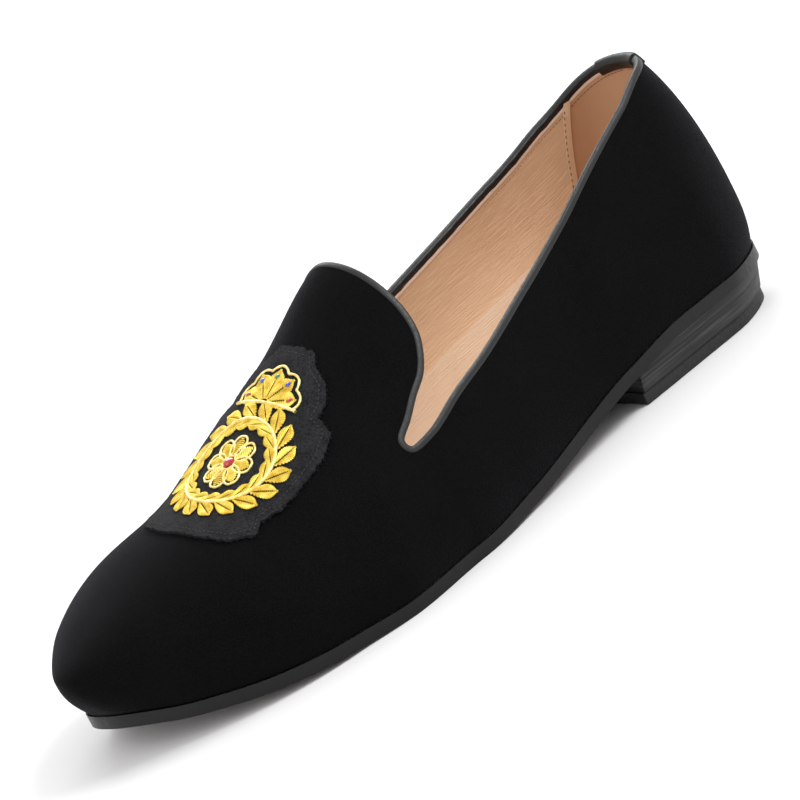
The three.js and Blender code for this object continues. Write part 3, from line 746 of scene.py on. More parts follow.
class Finish:
    """A material under construction: one surface shader and what feeds it."""

    def __init__(self, name: str, **sockets: object) -> None:
        """Starts the material.

        Args:
            name: the material's name.
            sockets: values by Socket member name.
        """
        self.material = bpy.data.materials.new(name)
        self.material.use_nodes = True
        self.tree = self.material.node_tree
        self.shader = self.tree.nodes["Principled BSDF"]
        for key, value in sockets.items():
            self.shader.inputs[Socket[key].value].default_value = value
        self.place = self.tree.nodes.new("ShaderNodeTexCoord").outputs["Object"]

    def node(self, kind: str, **settings: object) -> bpy.types.Node:
        """Adds a node and sets its properties."""
        node = self.tree.nodes.new(kind)
        for key, value in settings.items():
            setattr(node, key, value)
        return node

    def link(self, output: bpy.types.NodeSocket, target: bpy.types.NodeSocket) -> None:
        """Joins two sockets."""
        self.tree.links.new(output, target)

    def stretched(self, x: float, y: float, z: float, tilt: float = 0.0) -> bpy.types.NodeSocket:
        """Object coordinates scaled along the three axes, after a turn about X."""
        mapping = self.node("ShaderNodeMapping")
        mapping.inputs["Scale"].default_value = (x, y, z)
        mapping.inputs["Rotation"].default_value = (tilt, 0, 0)
        self.link(self.place, mapping.inputs["Vector"])
        return mapping.outputs["Vector"]

    def noise(
        self, scale: float, detail: float = 3.0, place: bpy.types.NodeSocket | None = None
    ) -> bpy.types.NodeSocket:
        """Noise of a scale in lumps a metre."""
        noise = self.node("ShaderNodeTexNoise")
        noise.inputs["Scale"].default_value = scale
        noise.inputs["Detail"].default_value = detail
        self.link(place or self.place, noise.inputs["Vector"])
        return noise.outputs["Fac"]

    def ramp(
        self, value: bpy.types.NodeSocket, *stops: tuple[float, tuple[float, float, float, float]]
    ) -> bpy.types.NodeSocket:
        """Colour from a value by stops."""
        ramp = self.node("ShaderNodeValToRGB")
        elements = ramp.color_ramp.elements
        for i, (place, colour) in enumerate(stops):
            element = elements[i] if i < 2 else elements.new(place)
            element.position = place
            element.color = colour
        self.link(value, ramp.inputs["Fac"])
        return ramp.outputs["Color"]

    def tones(
        self, value: bpy.types.NodeSocket, pair: Pair, start: float = 0.3, end: float = 0.7
    ) -> bpy.types.NodeSocket:
        """Colour from a dark to a light shade, in screen values, as a value rises."""
        return self.ramp(value, (start, linear(*pair[0])), (end, linear(*pair[1])))

    def spread(
        self,
        value: bpy.types.NodeSocket,
        low: float,
        high: float,
        start: float = 0.3,
        end: float = 0.7,
    ) -> bpy.types.NodeSocket:
        """A value spread between two numbers."""
        spread = self.node("ShaderNodeMapRange")
        spread.inputs["From Min"].default_value = start
        spread.inputs["From Max"].default_value = end
        spread.inputs["To Min"].default_value = low
        spread.inputs["To Max"].default_value = high
        self.link(value, spread.inputs["Value"])
        return spread.outputs["Result"]

    def add(
        self, one: bpy.types.NodeSocket, two: bpy.types.NodeSocket, share: float
    ) -> bpy.types.NodeSocket:
        """One value plus a share of another."""
        join = self.node("ShaderNodeMath", operation="MULTIPLY_ADD")
        self.link(two, join.inputs[0])
        join.inputs[1].default_value = share
        self.link(one, join.inputs[2])
        return join.outputs["Value"]

    def down_the_wall(self, stretch: float, tilt: float, lean: float) -> bpy.types.NodeSocket:
        """Place whose height runs down both walls and on over the sole.

        Args:
            stretch: share of the length that counts.
            tilt: rise of the lines of equal height along the shoe.
            lean: how much of the distance from the middle counts as height.

        Returns:
            The place.
        """
        split = self.node("ShaderNodeSeparateXYZ")
        self.link(self.place, split.inputs["Vector"])
        aside = self.node("ShaderNodeMath", operation="ABSOLUTE")
        self.link(split.outputs["X"], aside.inputs[0])
        height = self.add(self.plane(tilt, 1.0, 0.0), aside.outputs["Value"], lean)
        along = self.node("ShaderNodeMath", operation="MULTIPLY")
        self.link(split.outputs["Y"], along.inputs[0])
        along.inputs[1].default_value = stretch
        join = self.node("ShaderNodeCombineXYZ")
        self.link(along.outputs["Value"], join.inputs["Y"])
        self.link(height, join.inputs["Z"])
        return join.outputs["Vector"]

    def product(
        self, one: bpy.types.NodeSocket, two: bpy.types.NodeSocket
    ) -> bpy.types.NodeSocket:
        """One value times another."""
        join = self.node("ShaderNodeMath", operation="MULTIPLY")
        self.link(one, join.inputs[0])
        self.link(two, join.inputs[1])
        return join.outputs["Value"]

    def mix(
        self, share: bpy.types.NodeSocket, low: bpy.types.NodeSocket, high: bpy.types.NodeSocket
    ) -> bpy.types.NodeSocket:
        """Colour that goes from one to another with a share."""
        mix = self.node("ShaderNodeMix", data_type="RGBA")
        self.link(share, mix.inputs["Factor"])
        colours = [socket for socket in mix.inputs if socket.type == "RGBA"]
        self.link(low, colours[0])
        self.link(high, colours[1])
        return next(socket for socket in mix.outputs if socket.type == "RGBA")

    def plane(self, y: float, z: float, offset: float) -> bpy.types.NodeSocket:
        """Distance from a plane across the shoe, with its slopes along Y and Z."""
        split = self.node("ShaderNodeSeparateXYZ")
        self.link(self.place, split.inputs["Vector"])
        along = self.node("ShaderNodeMath", operation="MULTIPLY_ADD")
        self.link(split.outputs["Y"], along.inputs[0])
        along.inputs[1].default_value = y
        along.inputs[2].default_value = offset
        return self.add(along.outputs["Value"], split.outputs["Z"], z)

    def bump(self, height: bpy.types.NodeSocket, depth: float, strength: float = 1.0) -> None:
        """Raises the surface by a height, over a depth in metres."""
        bump = self.node("ShaderNodeBump")
        bump.inputs["Strength"].default_value = strength
        bump.inputs["Distance"].default_value = depth
        self.link(height, bump.inputs["Height"])
        self.link(bump.outputs["Normal"], self.shader.inputs[Socket.NORMAL.value])

    def colour(self, colour: bpy.types.NodeSocket) -> None:
        """Feeds the base colour."""
        self.link(colour, self.shader.inputs[Socket.COLOUR.value])

    def roughness(self, value: bpy.types.NodeSocket) -> None:
        """Feeds the roughness."""
        self.link(value, self.shader.inputs[Socket.ROUGHNESS.value])


@dataclass(frozen=True)
class Velvet:
    """Black cotton velvet with a short, even nap."""

    nap: float = 2300.0
    nap_depth: float = 0.3 * MM
    cloud: float = 60.0
    cloud_share: float = 0.25
    pile: Pair = ((7, 7, 8), (16, 16, 17))
    sheen_tint: Shade = (225, 225, 235)

    def build(self) -> bpy.types.Material:
        """The material."""
        finish = Finish(
            "velvet",
            ROUGHNESS=1.0,
            SPECULAR=0.04,
            SHEEN=0.09,
            SHEEN_ROUGHNESS=0.3,
            SHEEN_TINT=linear(*self.sheen_tint),
        )
        cloud = finish.noise(self.cloud, 4.0)
        speck = finish.noise(self.nap, 2.0)
        mottle = finish.add(speck, cloud, self.cloud_share)
        finish.colour(finish.tones(mottle, self.pile, 0.4, 0.85))
        finish.bump(finish.add(speck, cloud, 0.5), self.nap_depth, 0.9)
        return finish.material


@dataclass(frozen=True)
class Leather:
    """Leather or rubber with fine grain."""

    name: str
    shades: Pair
    rough: tuple[float, float]
    grain: float = 900.0
    depth: float = 0.05 * MM
    specular: float = 0.5
    tone: float = 28.0

    def build(self) -> bpy.types.Material:
        """The material."""
        finish = Finish(self.name, SPECULAR=self.specular)
        tone = finish.noise(self.tone, 4.0)
        grain = finish.noise(self.grain, 3.0)
        finish.colour(finish.tones(tone, self.shades, end=0.72))
        finish.roughness(finish.spread(grain, *self.rough))
        finish.bump(grain, self.depth)
        return finish.material


@dataclass(frozen=True)
class WrinkledLining:
    """Tan lining leather: fine lengthwise wrinkles with painted shade in their creases, plain and
    lighter below a line low on the walls, painted light on the walls just above that line, and a
    plain heel pocket with painted shade just behind its seam.
    """

    tone: float = 24.0
    grain: float = 1500.0
    wrinkle: float = 2300.0
    wrinkle_stretch: float = 0.04
    wrinkle_lean: float = 0.8
    wrinkle_tilt: float = -0.112
    wrinkle_depth: float = 0.12 * MM
    bright_below: float = -29.1 * MM
    calm_start: float = 14 * MM
    calm_end: float = 34 * MM
    # Painted light: how far above the line the walls' painted light fades out
    painted_glow_end: float = 30 * MM
    pocket_slope: float = -0.2
    pocket_start: float = -107.2 * MM
    pocket_shade: float = 30 * MM
    seam: float = 0.3 * MM
    wall: Pair = ((204, 168, 134), (220, 186, 152))
    # Painted shade: darker tones laid into the wrinkles' creases
    crease_shade: Pair = ((180, 142, 110), (194, 158, 124))
    plain: Pair = ((238, 212, 184), (246, 224, 200))
    # Painted light: lighter tones for the walls just above the line
    low: Pair = ((232, 198, 164), (240, 208, 176))
    pocket_back: Pair = ((204, 166, 134), (214, 178, 146))
    # Painted shade: darker tones for the heel pocket just behind its seam; pocket_back is its
    # colour further back
    pocket_painted_shade: Pair = ((172, 126, 92), (184, 138, 102))

    def build(self) -> bpy.types.Material:
        """The material."""
        finish = Finish("lining_leather", ROUGHNESS=0.55, SPECULAR=0.3)
        tone = finish.noise(self.tone, 3.0)
        down = finish.down_the_wall(self.wrinkle_stretch, self.wrinkle_tilt, self.wrinkle_lean)
        wrinkle = finish.spread(finish.noise(self.wrinkle, 2.0, down), 0.0, 1.0, 0.36, 0.6)
        grain = finish.noise(self.grain, 2.0)
        high = finish.plane(self.wrinkle_tilt, 1.0, self.bright_below)
        upper = finish.spread(high, 0.0, 1.0, -self.seam, 0.5 * MM)
        calm = finish.spread(high, 0.8, 0.15, self.calm_start, self.calm_end)
        back = finish.plane(1.0, self.pocket_slope, self.pocket_start)
        pocket = finish.spread(back, 0.0, 1.0, -self.seam, self.seam)
        front = finish.spread(back, 1.0, 0.0, -self.seam, self.seam)
        creased = finish.product(finish.product(calm, front), wrinkle)
        # Painted light: full at the line, fading out higher up the walls
        painted_glow = finish.spread(high, 1.0, 0.0, 0.0, self.painted_glow_end)
        # Painted shade in the heel pocket: full at the seam, fading out over pocket_shade towards
        # the back
        shade = finish.spread(back, 1.0, 0.0, 0.0, self.pocket_shade)
        wall, crease_shade, plain, low, rear, pocket_in_shade = (
            finish.tones(tone, pair)
            for pair in (
                self.wall, self.crease_shade, self.plain, self.low, self.pocket_back, self.pocket_painted_shade
            )
        )
        # Plain colour below the line; above it the wall's colour with painted light near the line
        smooth_wall = finish.mix(upper, plain, finish.mix(painted_glow, wall, low))
        # Painted shade: the wrinkles' creases are darkened, less so near the line where the walls
        # take painted light
        wrinkled = finish.mix(creased, smooth_wall, finish.mix(painted_glow, crease_shade, smooth_wall))
        # The heel pocket keeps its own colour, with painted shade just behind its seam
        finish.colour(finish.mix(pocket, wrinkled, finish.mix(shade, rear, pocket_in_shade)))
        finish.roughness(finish.spread(grain, 0.45, 0.65))
        finish.bump(finish.add(creased, grain, 0.3), self.wrinkle_depth, 0.7)
        return finish.material


@dataclass(frozen=True)
class SoleLeather:
    """Polished sole leather: reddish brown forward, nearly black at the waist and heel."""

    fade_start: float = 10 * MM
    fade_end: float = 75 * MM
    forward: Shade = (74, 50, 46)
    waist: Shade = (62, 42, 38)
    heel: Shade = (24, 23, 22)
    polish: tuple[float, float] = (0.28, 0.42)

    def build(self) -> bpy.types.Material:
        """The material."""
        finish = Finish("sole_leather", COAT=0.8, COAT_ROUGHNESS=0.12)
        split = finish.node("ShaderNodeSeparateXYZ")
        finish.link(finish.place, split.inputs["Vector"])
        back = finish.spread(split.outputs["Y"], 0.0, 1.0, self.fade_start, self.fade_end)
        stops = ((0.0, self.forward), (0.45, self.waist), (1.0, self.heel))
        mottle = finish.add(back, finish.noise(35.0, 4.0), 0.12)
        finish.colour(finish.ramp(mottle, *((at, linear(*shade)) for at, shade in stops)))
        finish.roughness(finish.spread(finish.noise(120.0, 5.0), *self.polish))
        finish.bump(finish.noise(1300.0, 2.0), 0.02 * MM)
        return finish.material


@dataclass(frozen=True)
class StackedLeather:
    """Heel built from thin layers, stained near black."""

    layers: float = 1250.0
    depth: float = 0.12 * MM
    stain: Shade = (13, 13, 13)
    middle: Shade = (30, 30, 31)
    worn: Shade = (58, 58, 60)

    def build(self) -> bpy.types.Material:
        """The material."""
        finish = Finish("stacked_leather", SPECULAR=0.35)
        layer = finish.noise(self.layers, 3.0, finish.stretched(0.02, 0.02, 1.0))
        fibre = finish.noise(800.0, 3.0, finish.stretched(0.3, 0.3, 2.0))
        lines = finish.add(layer, fibre, 0.25)
        stops = ((0.45, self.stain), (0.62, self.middle), (0.80, self.worn))
        finish.colour(finish.ramp(lines, *((at, linear(*shade)) for at, shade in stops)))
        finish.roughness(finish.spread(fibre, 0.45, 0.65))
        finish.bump(lines, self.depth, 0.8)
        return finish.material


@dataclass(frozen=True)
class Felt:
    """Dark wool felt with loose fibres."""

    fibre: float = 1500.0
    lump: float = 260.0
    depth: float = 0.25 * MM
    wool: Pair = ((16, 16, 17), (44, 44, 46))

    def build(self) -> bpy.types.Material:
        """The material."""
        finish = Finish("felt", ROUGHNESS=1.0, SPECULAR=0.05, SHEEN=0.05, SHEEN_ROUGHNESS=0.5)
        fibre = finish.noise(self.fibre, 6.0)
        lump = finish.noise(self.lump, 4.0)
        finish.colour(finish.tones(finish.add(fibre, lump, 0.5), self.wool, 0.5, 0.95))
        finish.bump(finish.add(fibre, lump, 0.7), self.depth, 0.8)
        return finish.material


@dataclass(frozen=True)
class Bullion:
    """Gilt wire wound in a fine coil."""

    name: str = "gold_thread"
    gilt: Pair = ((218, 180, 50), (255, 230, 112))
    tone: float = 340.0
    winding: float = 4200.0
    depth: float = 0.08 * MM

    def build(self) -> bpy.types.Material:
        """The material."""
        finish = Finish(self.name, METALLIC=0.7, SPECULAR=0.6)
        tone = finish.noise(self.tone, 3.0)
        winding = finish.noise(self.winding, 1.0)
        finish.colour(finish.tones(tone, self.gilt, 0.32, 0.66))
        finish.roughness(finish.spread(winding, 0.24, 0.45))
        finish.bump(winding, self.depth, 0.8)
        return finish.material


@dataclass(frozen=True)
class Glass:
    """Small cut glass stone, foiled behind."""

    name: str
    tint: Shade

    def build(self) -> bpy.types.Material:
        """The material."""
        gloss = {"ROUGHNESS": 0.08, "METALLIC": 0.25, "COAT": 1.0, "COAT_ROUGHNESS": 0.03}
        return Finish(self.name, COLOUR=linear(*self.tint), **gloss).material


class Wardrobe:
    """Every finish of the shoe, built once."""

    def __init__(self) -> None:
        """Builds the materials."""
        self.velvet = Velvet().build()
        self.lining = WrinkledLining().build()
        self.binding = Leather(
            "binding_leather", ((13, 14, 15), (22, 23, 24)), (0.36, 0.52), 1100.0, 0.06 * MM, 0.4
        ).build()
        self.cut_edge = Leather(
            "cut_edge", ((214, 186, 168), (232, 208, 192)), (0.7, 0.85), 1500.0, 0.04 * MM
        ).build()
        self.insole = Leather(
            "insole_leather", ((216, 184, 158), (232, 204, 180)), (0.45, 0.6), 1200.0, 0.04 * MM
        ).build()
        self.sole = SoleLeather().build()
        self.edge = Leather(
            "edge_dressing", ((7, 7, 8), (13, 13, 14)), (0.34, 0.5), 700.0, 0.03 * MM, 0.28
        ).build()
        self.heel = StackedLeather().build()
        self.rubber = Leather(
            "heel_rubber", ((14, 14, 15), (24, 24, 25)), (0.55, 0.75), 900.0, 0.05 * MM
        ).build()
        self.felt = Felt().build()
        self.felt_thread = Leather(
            "felt_thread", ((40, 40, 42), (62, 62, 65)), (0.7, 0.9), 2500.0, 0.03 * MM
        ).build()
        self.gold = Bullion().build()
        self.pale_gold = Bullion("pale_gold_thread", ((236, 204, 104), (255, 242, 176))).build()
        self.strap = Leather(
            "strap_leather", ((200, 162, 128), (214, 178, 144)), (0.5, 0.65), 1200.0, 0.04 * MM
        ).build()
        self.tan_thread = Leather(
            "tan_thread", ((92, 58, 36), (120, 80, 54)), (0.6, 0.8), 2500.0, 0.03 * MM
        ).build()
        tints = {"red": (170, 16, 20), "blue": (22, 60, 170), "green": (16, 120, 60)}
        self.stones = [Glass(name + "_stone", tint).build() for name, tint in tints.items()]


@dataclass
class Shell:
    """The upper: a velvet outside and a leather lining, cut from the same last."""

    last: Last
    wardrobe: Wardrobe
    stations: int = 200
    turns: int = 168
    velvet_thickness: float = 1.0 * MM
    lining_lift: float = -1.02 * MM
    lining_thickness: float = 0.98 * MM
    seat_gap: float = 0.3 * MM
    reach: float = 150 * MM
    line_steps: int = 260
    pole: float = 1e-6
    skin_depth: float = 0.25 * MM

    def form(self, name: str, grow: float) -> bpy.types.Object:
        """The whole last as a closed skin, larger by grow."""
        deselect()
        bpy.ops.mesh.primitive_uv_sphere_add(
            segments=self.turns, ring_count=self.stations, radius=1
        )
        thing = take(name)
        ball = coordinates(thing)
        at = np.clip((1 + ball[:, 2]) / 2, 0, 1)
        turn = np.arctan2(ball[:, 1], ball[:, 0])
        shape(thing, self.last.point(at, turn, grow))
        return thing

    def opening_cutter(self, side: str) -> bpy.types.Object:
        """Block that cuts the opening on one side of the middle."""
        line = self.last.opening_line(side, self.line_steps)
        top = self.reach
        end = line[-1, 0] + self.last.overrun
        outline = np.vstack([line, [[end, line[-1, 1]], [end, top], [line[0, 0], top]]])
        middle = self.last.side_shift
        x = middle if side == "outer" else middle - self.reach
        deselect()
        bpy.ops.mesh.primitive_circle_add(vertices=len(outline), fill_type="NGON")
        thing = take("cutter_" + side)
        shape(thing, np.column_stack([np.full(len(outline), x), outline]))
        draw_out(thing, (self.reach, 0, 0))
        return thing

    def sole_cutter(self) -> bpy.types.Object:
        """Block that cuts everything below the sole's upper face."""
        thing, across, along = grid("cutter_sole", 1, 160)
        y = (along - 0.5) * (self.last.length + 2 * self.last.overrun)
        z = self.last.sole_top(self.last.share(y)) + self.seat_gap
        shape(thing, np.column_stack([across * self.reach, y, z]))
        draw_out(thing, (0, 0, -self.reach))
        return thing

    def cut(self, thing: bpy.types.Object, cutters: list[bpy.types.Object], grow: float) -> None:
        """Cuts a closed skin and keeps only the skin itself."""
        for cutter in cutters:
            finish_modifier(
                thing, "BOOLEAN", operation="DIFFERENCE", object=cutter, solver="EXACT"
            )
        middle, _ = face_centres(thing)
        inside = self.depth(middle, grow)
        drop_faces(thing, inside > self.skin_depth)

    def depth(self, points: np.ndarray, grow: float) -> np.ndarray:
        """How far points lie inside the skin, in height or in width."""
        at = np.clip(0.5 - points[:, 1] / (self.last.length + 2 * grow), self.pole, 1 - self.pole)
        size = self.last.sizes(at, grow)
        away = points[:, 0] - size.middle
        up = points[:, 2] - size.widest
        half = np.where(away >= 0, size.outer, size.inner)
        tall = np.where(up >= 0, size.above, size.below)
        power = np.where(up >= 0, size.round, self.last.undercut_power)
        radius = (np.abs(away / half) ** power + np.abs(up / tall) ** power) ** (1 / power)
        return (1 - radius) * np.minimum(half, tall)

    def build(self) -> None:
        """Builds the velvet and the lining."""
        cutters = [self.opening_cutter("outer"), self.opening_cutter("inner"), self.sole_cutter()]
        velvet = self.form("velvet_upper", 0.0)
        self.cut(velvet, cutters, 0.0)
        finish_modifier(velvet, "SOLIDIFY", thickness=self.velvet_thickness, offset=-1)
        smooth(velvet, 60)
        dress(velvet, "velvet", self.wardrobe.velvet)
        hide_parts("upper")
        lining = self.form("lining", self.lining_lift)
        self.cut(lining, cutters, self.lining_lift)
        finish_modifier(lining, "SOLIDIFY", thickness=self.lining_thickness, offset=-1)
        smooth(lining, 60)
        dress(lining, "lining", self.wardrobe.lining)
        for cutter in cutters:
            bpy.data.objects.remove(cutter)


@dataclass
class Binding:
    """Leather folded over the edge of the opening, and the tab over it at the back."""

    last: Last
    wardrobe: Wardrobe
    spacing: float = 0.55 * MM
    wall: float = 2 * MM
    lift: float = 0.35 * MM
    outside: float = 1.5 * MM
    inside: float = 2.1 * MM
    crest: float = 0.85 * MM
    tab_width: float = 20 * MM
    tab_lift: float = 0.95 * MM
    tab_outside: float = 4 * MM
    tab_inside: float = 3.4 * MM
    tab_crest: float = 1.5 * MM
    tab_ease: float = 0.25 * MM
    tab_ease_angle: float = math.degrees(1.0)
    rim_drop: float = 2.8 * MM
    rim_height: float = 0.5 * MM
    rim_stand: float = 0.3 * MM
    pucker: float = 0.03
    pucker_runs: tuple[float, float, float] = (1.7 * MM, 9.3 * MM, 0.9 * MM)
    fine_pucker: float = 0.6

    def profile(self, lift: float, outside: float, inside: float, crest: float) -> np.ndarray:
        """Section of the fold.

        Args:
            lift: how far its outer face stands off the wall.
            outside: how far it reaches down the outer face.
            inside: how far it reaches down the inner face.
            crest: how far it stands over the edge.

        Returns:
            Points in out and down.
        """
        far = self.wall + lift
        corners = np.array(
            [
                (-0.3 * MM, outside),
                (0.4 * lift, outside - 0.05 * MM),
                (0.8 * lift, outside - 0.35 * MM),
                (lift, 0.35 * outside),
                (lift * 0.9, -0.45 * crest),
                (0.1 * lift, -0.9 * crest),
                (-0.35 * self.wall, -crest),
                (-0.8 * self.wall, -0.92 * crest),
                (-far + 0.25 * lift, -0.55 * crest),
                (-far, 0.2 * MM),
                (-far + 0.1 * lift, inside - 0.4 * MM),
                (-self.wall - 0.2 * lift, inside),
                (-0.6 * self.wall, inside - 0.2 * MM),
                (-0.5 * self.wall, 0.4 * outside),
            ]
        )
        return corners

    def sections(
        self, points: np.ndarray, closed: bool, profile: np.ndarray, pucker: float
    ) -> np.ndarray:
        """The fold's section carried along an edge, with slight puckers."""
        out, down = edge_frames(self.last, points, closed)
        count = len(points)
        run = np.arange(count) * self.spacing
        waves = [np.sin(run / length) for length in self.pucker_runs]
        wave = waves[0] * waves[1] + self.fine_pucker * waves[2]
        scale = 1 + pucker * wave[:, None, None]
        spread = profile[None, :, 0, None] * out[:, None, :] * scale
        return points[:, None, :] + spread + profile[None, :, 1, None] * down[:, None, :]

    def build_binding(self) -> None:
        """The binding round the whole opening."""
        loop = self.last.opening_loop(self.spacing)
        profile = self.profile(self.lift, self.outside, self.inside, self.crest)
        sections = self.sections(loop, True, profile, self.pucker)
        thing = tube("topline_fold", sections, True)
        finish_modifier(thing, "SUBSURF", levels=1, render_levels=1)
        smooth(thing, 70)
        dress(thing, "binding", self.wardrobe.binding)
        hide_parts("topline_binding")

    def build_tab(self) -> None:
        """The tab at the back of the heel."""
        outer = self.last.opening_edge("outer", FINE_STEPS)
        inner = self.last.opening_edge("inner", FINE_STEPS)
        whole = np.vstack([outer, inner[::-1]])
        middle = self.last.side_shift
        back = whole[(whole[:, 1] > 0) & (np.abs(whole[:, 0] - middle) <= self.tab_width / 2)]
        points = even_points(back, self.spacing, closed=False)
        profile = self.profile(
            self.tab_lift, self.tab_outside, self.tab_inside, self.tab_crest
        )
        sections = self.sections(points, False, profile, 0.0)
        thing = tube("heel_tab", sections, False)
        bevel(thing, self.tab_ease, 2, self.tab_ease_angle)
        smooth(thing, 60)
        dress(thing, "binding", self.wardrobe.binding)
        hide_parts("back_tab")

    def build_rim(self) -> None:
        """The pale cut edge of the lining, just below the binding."""
        loop = self.last.opening_loop(self.spacing)
        out, down = edge_frames(self.last, loop, True)
        top = self.inside - self.rim_height
        root = -self.wall + 0.1 * MM
        section = [
            (root, top),
            (-self.wall - self.rim_stand, top),
            (-self.wall - self.rim_stand - 0.04 * MM, self.rim_drop - 0.2 * MM),
            (root, self.rim_drop),
        ]
        sections = np.stack([loop + a * out + b * down for a, b in section], axis=1)
        thing = tube("lining_rim", sections, True)
        smooth(thing, 50)
        dress(thing, "lining", self.wardrobe.cut_edge)

    def build(self) -> None:
        """Builds the binding, its tab and the lining's cut edge."""
        self.build_binding()
        self.build_tab()
        self.build_rim()


@dataclass
class Bottom:
    """Insole, outsole and heel."""

    last: Last
    wardrobe: Wardrobe
    margin: float = 0.6 * MM
    step_inset: float = 0.8 * MM
    insole_thickness: float = 2 * MM
    seat_gap: float = 0.3 * MM
    heel_length: float = 84 * MM
    heel_taper: float = 3.4 * MM
    breast_hollow: float = 4 * MM
    top_piece: float = 4 * MM
    top_piece_inset: float = 0.5 * MM
    joint: float = 0.02 * MM
    sock_inset: float = 2.05 * MM
    sole_ease: float = 0.85 * MM
    sock_ease: float = 0.7 * MM
    ease_angle: float = 50
    heel_ease: float = 0.35 * MM
    heel_ease_angle: float = 45
    outline_steps: int = 60
    breast_steps: int = 24

    def slab(self, name: str, grow: float, height: Callable, thickness: float) -> bpy.types.Object:
        """Plate with the footprint's outline.

        Args:
            name: the piece.
            grow: how much wider than the last's footprint.
            height: Z of its lower face from places along the shoe.
            thickness: how thick it is.

        Returns:
            The piece, with its lower and upper face the same shape.
        """
        thing, across, along = grid(name, 30, 190)
        start, end = self.last.footprint_ends(grow)
        at = end + (start - end) * (1 - np.cos(math.pi * along)) / 2
        half = self.last.footprint(at, across, grow)
        middle = self.last.sizes(at, grow).middle
        y = (0.5 - at) * (self.last.length + 2 * grow)
        even = np.sin(across * math.pi / 2)
        shape(thing, np.column_stack([middle + even * half, y, height(at)]))
        draw_out(thing, (0, 0, thickness), weld())
        return thing

    def build_outsole(self) -> None:
        """The sole, with its lower edge bevelled."""
        last = self.last
        thing = self.slab("sole", self.margin, last.underside, last.sole_thickness)
        thing.data.materials.append(self.wardrobe.sole)
        thing.data.materials.append(self.wardrobe.edge)
        _, normal = face_centres(thing)
        thing.data.polygons.foreach_set("material_index", (normal[:, 2] > -0.5).astype(int))
        bevel(thing, self.sole_ease, 3, self.ease_angle, material=1)
        smooth(thing, 35)
        dress(thing, "sole_leather", self.wardrobe.sole, self.wardrobe.edge)
        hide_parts("outsole")

    def build_insole(self) -> None:
        """The sock on the insole, with its edges eased."""
        last = self.last
        thing = self.slab(
            "sock",
            -self.sock_inset,
            lambda at: last.sole_top(at) + self.seat_gap,
            self.insole_thickness,
        )
        bevel(thing, self.sock_ease, 3, self.ease_angle)
        smooth(thing, 35)
        dress(thing, "lining", self.wardrobe.insole)
        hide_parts("insole")

    def heel_outline(self, inset: float) -> np.ndarray:
        """Outline of the heel's seat in plan, breast included, moved in by inset."""
        last = self.last
        front = last.length / 2 - self.heel_length + inset
        start, _ = last.footprint_ends(self.margin)
        span = last.length + 2 * self.margin
        stop = 0.5 - front / span
        at = start + (stop - start) * (1 - np.cos(np.linspace(0, math.pi / 2, self.outline_steps)))
        middle = last.sizes(at, self.margin).middle
        y = (0.5 - at) * span
        outer = np.column_stack([middle + last.footprint(at, 1, self.margin), y])
        inner = np.column_stack([middle - last.footprint(at, -1, self.margin), y])
        ring = np.vstack([outer[::-1], inner[1:]])
        along = np.gradient(ring, axis=0)
        along /= np.linalg.norm(along, axis=1, keepdims=True)
        distance = self.step_inset + inset
        ring = ring + np.column_stack([-along[:, 1], along[:, 0]]) * distance
        t = np.linspace(0, 1, self.breast_steps)[1:-1]
        breast_x = ring[-1, 0] + (ring[0, 0] - ring[-1, 0]) * t
        breast_y = front + self.breast_hollow * np.sin(math.pi * t)
        return np.vstack([ring, np.column_stack([breast_x, breast_y])])

    def block(
        self,
        name: str,
        lower: np.ndarray,
        upper: np.ndarray,
        lower_z: np.ndarray | float,
        upper_z: np.ndarray | float,
    ) -> bpy.types.Object:
        """Block between two outlines, with its edges eased.

        Args:
            name: the piece.
            lower, upper: the outlines in plan, point for point.
            lower_z, upper_z: their heights.

        Returns:
            The piece.
        """
        deselect()
        bpy.ops.mesh.primitive_cylinder_add(vertices=len(lower), end_fill_type="NGON")
        thing = take(name)
        places = coordinates(thing)
        low = places[:, 2] < 0
        new = places.copy()
        new[low] = np.column_stack([lower, np.broadcast_to(lower_z, len(lower))])
        new[~low] = np.column_stack([upper, np.broadcast_to(upper_z, len(upper))])
        shape(thing, new)
        edit(thing, face_out)
        bevel(thing, self.heel_ease, 2, self.heel_ease_angle)
        smooth(thing, 30)
        return thing

    def build_heel(self) -> None:
        """The stacked heel and the piece on the floor."""
        last = self.last
        top = self.heel_outline(0.0)
        front = last.length / 2 - self.heel_length
        narrow = 1 - self.heel_taper / last.heel_width
        short = 1 - self.heel_taper / self.heel_length
        middle = last.side_shift
        foot = np.column_stack(
            [middle + (top[:, 0] - middle) * narrow, front + (top[:, 1] - front) * short]
        )
        under = last.underside(last.share(top[:, 1])) - self.joint
        stack = self.block("heel_block", foot, top, self.top_piece + 0.05 * MM, under)
        dress(stack, "heel_leather", self.wardrobe.heel)
        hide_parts("heel_stack")
        drawn = 1 - 2 * self.top_piece_inset / last.heel_width
        lift = np.column_stack([middle + (foot[:, 0] - middle) * drawn, foot[:, 1] - 0.5 * MM])
        piece = self.block("heel_lift", lift, lift, 0.0, self.top_piece)
        dress(piece, "heel_rubber", self.wardrobe.rubber)
        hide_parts("heel_top_piece")

    def build(self) -> None:
        """Builds the bottom from the inside out."""
        self.build_insole()
        self.build_outsole()
        self.build_heel()


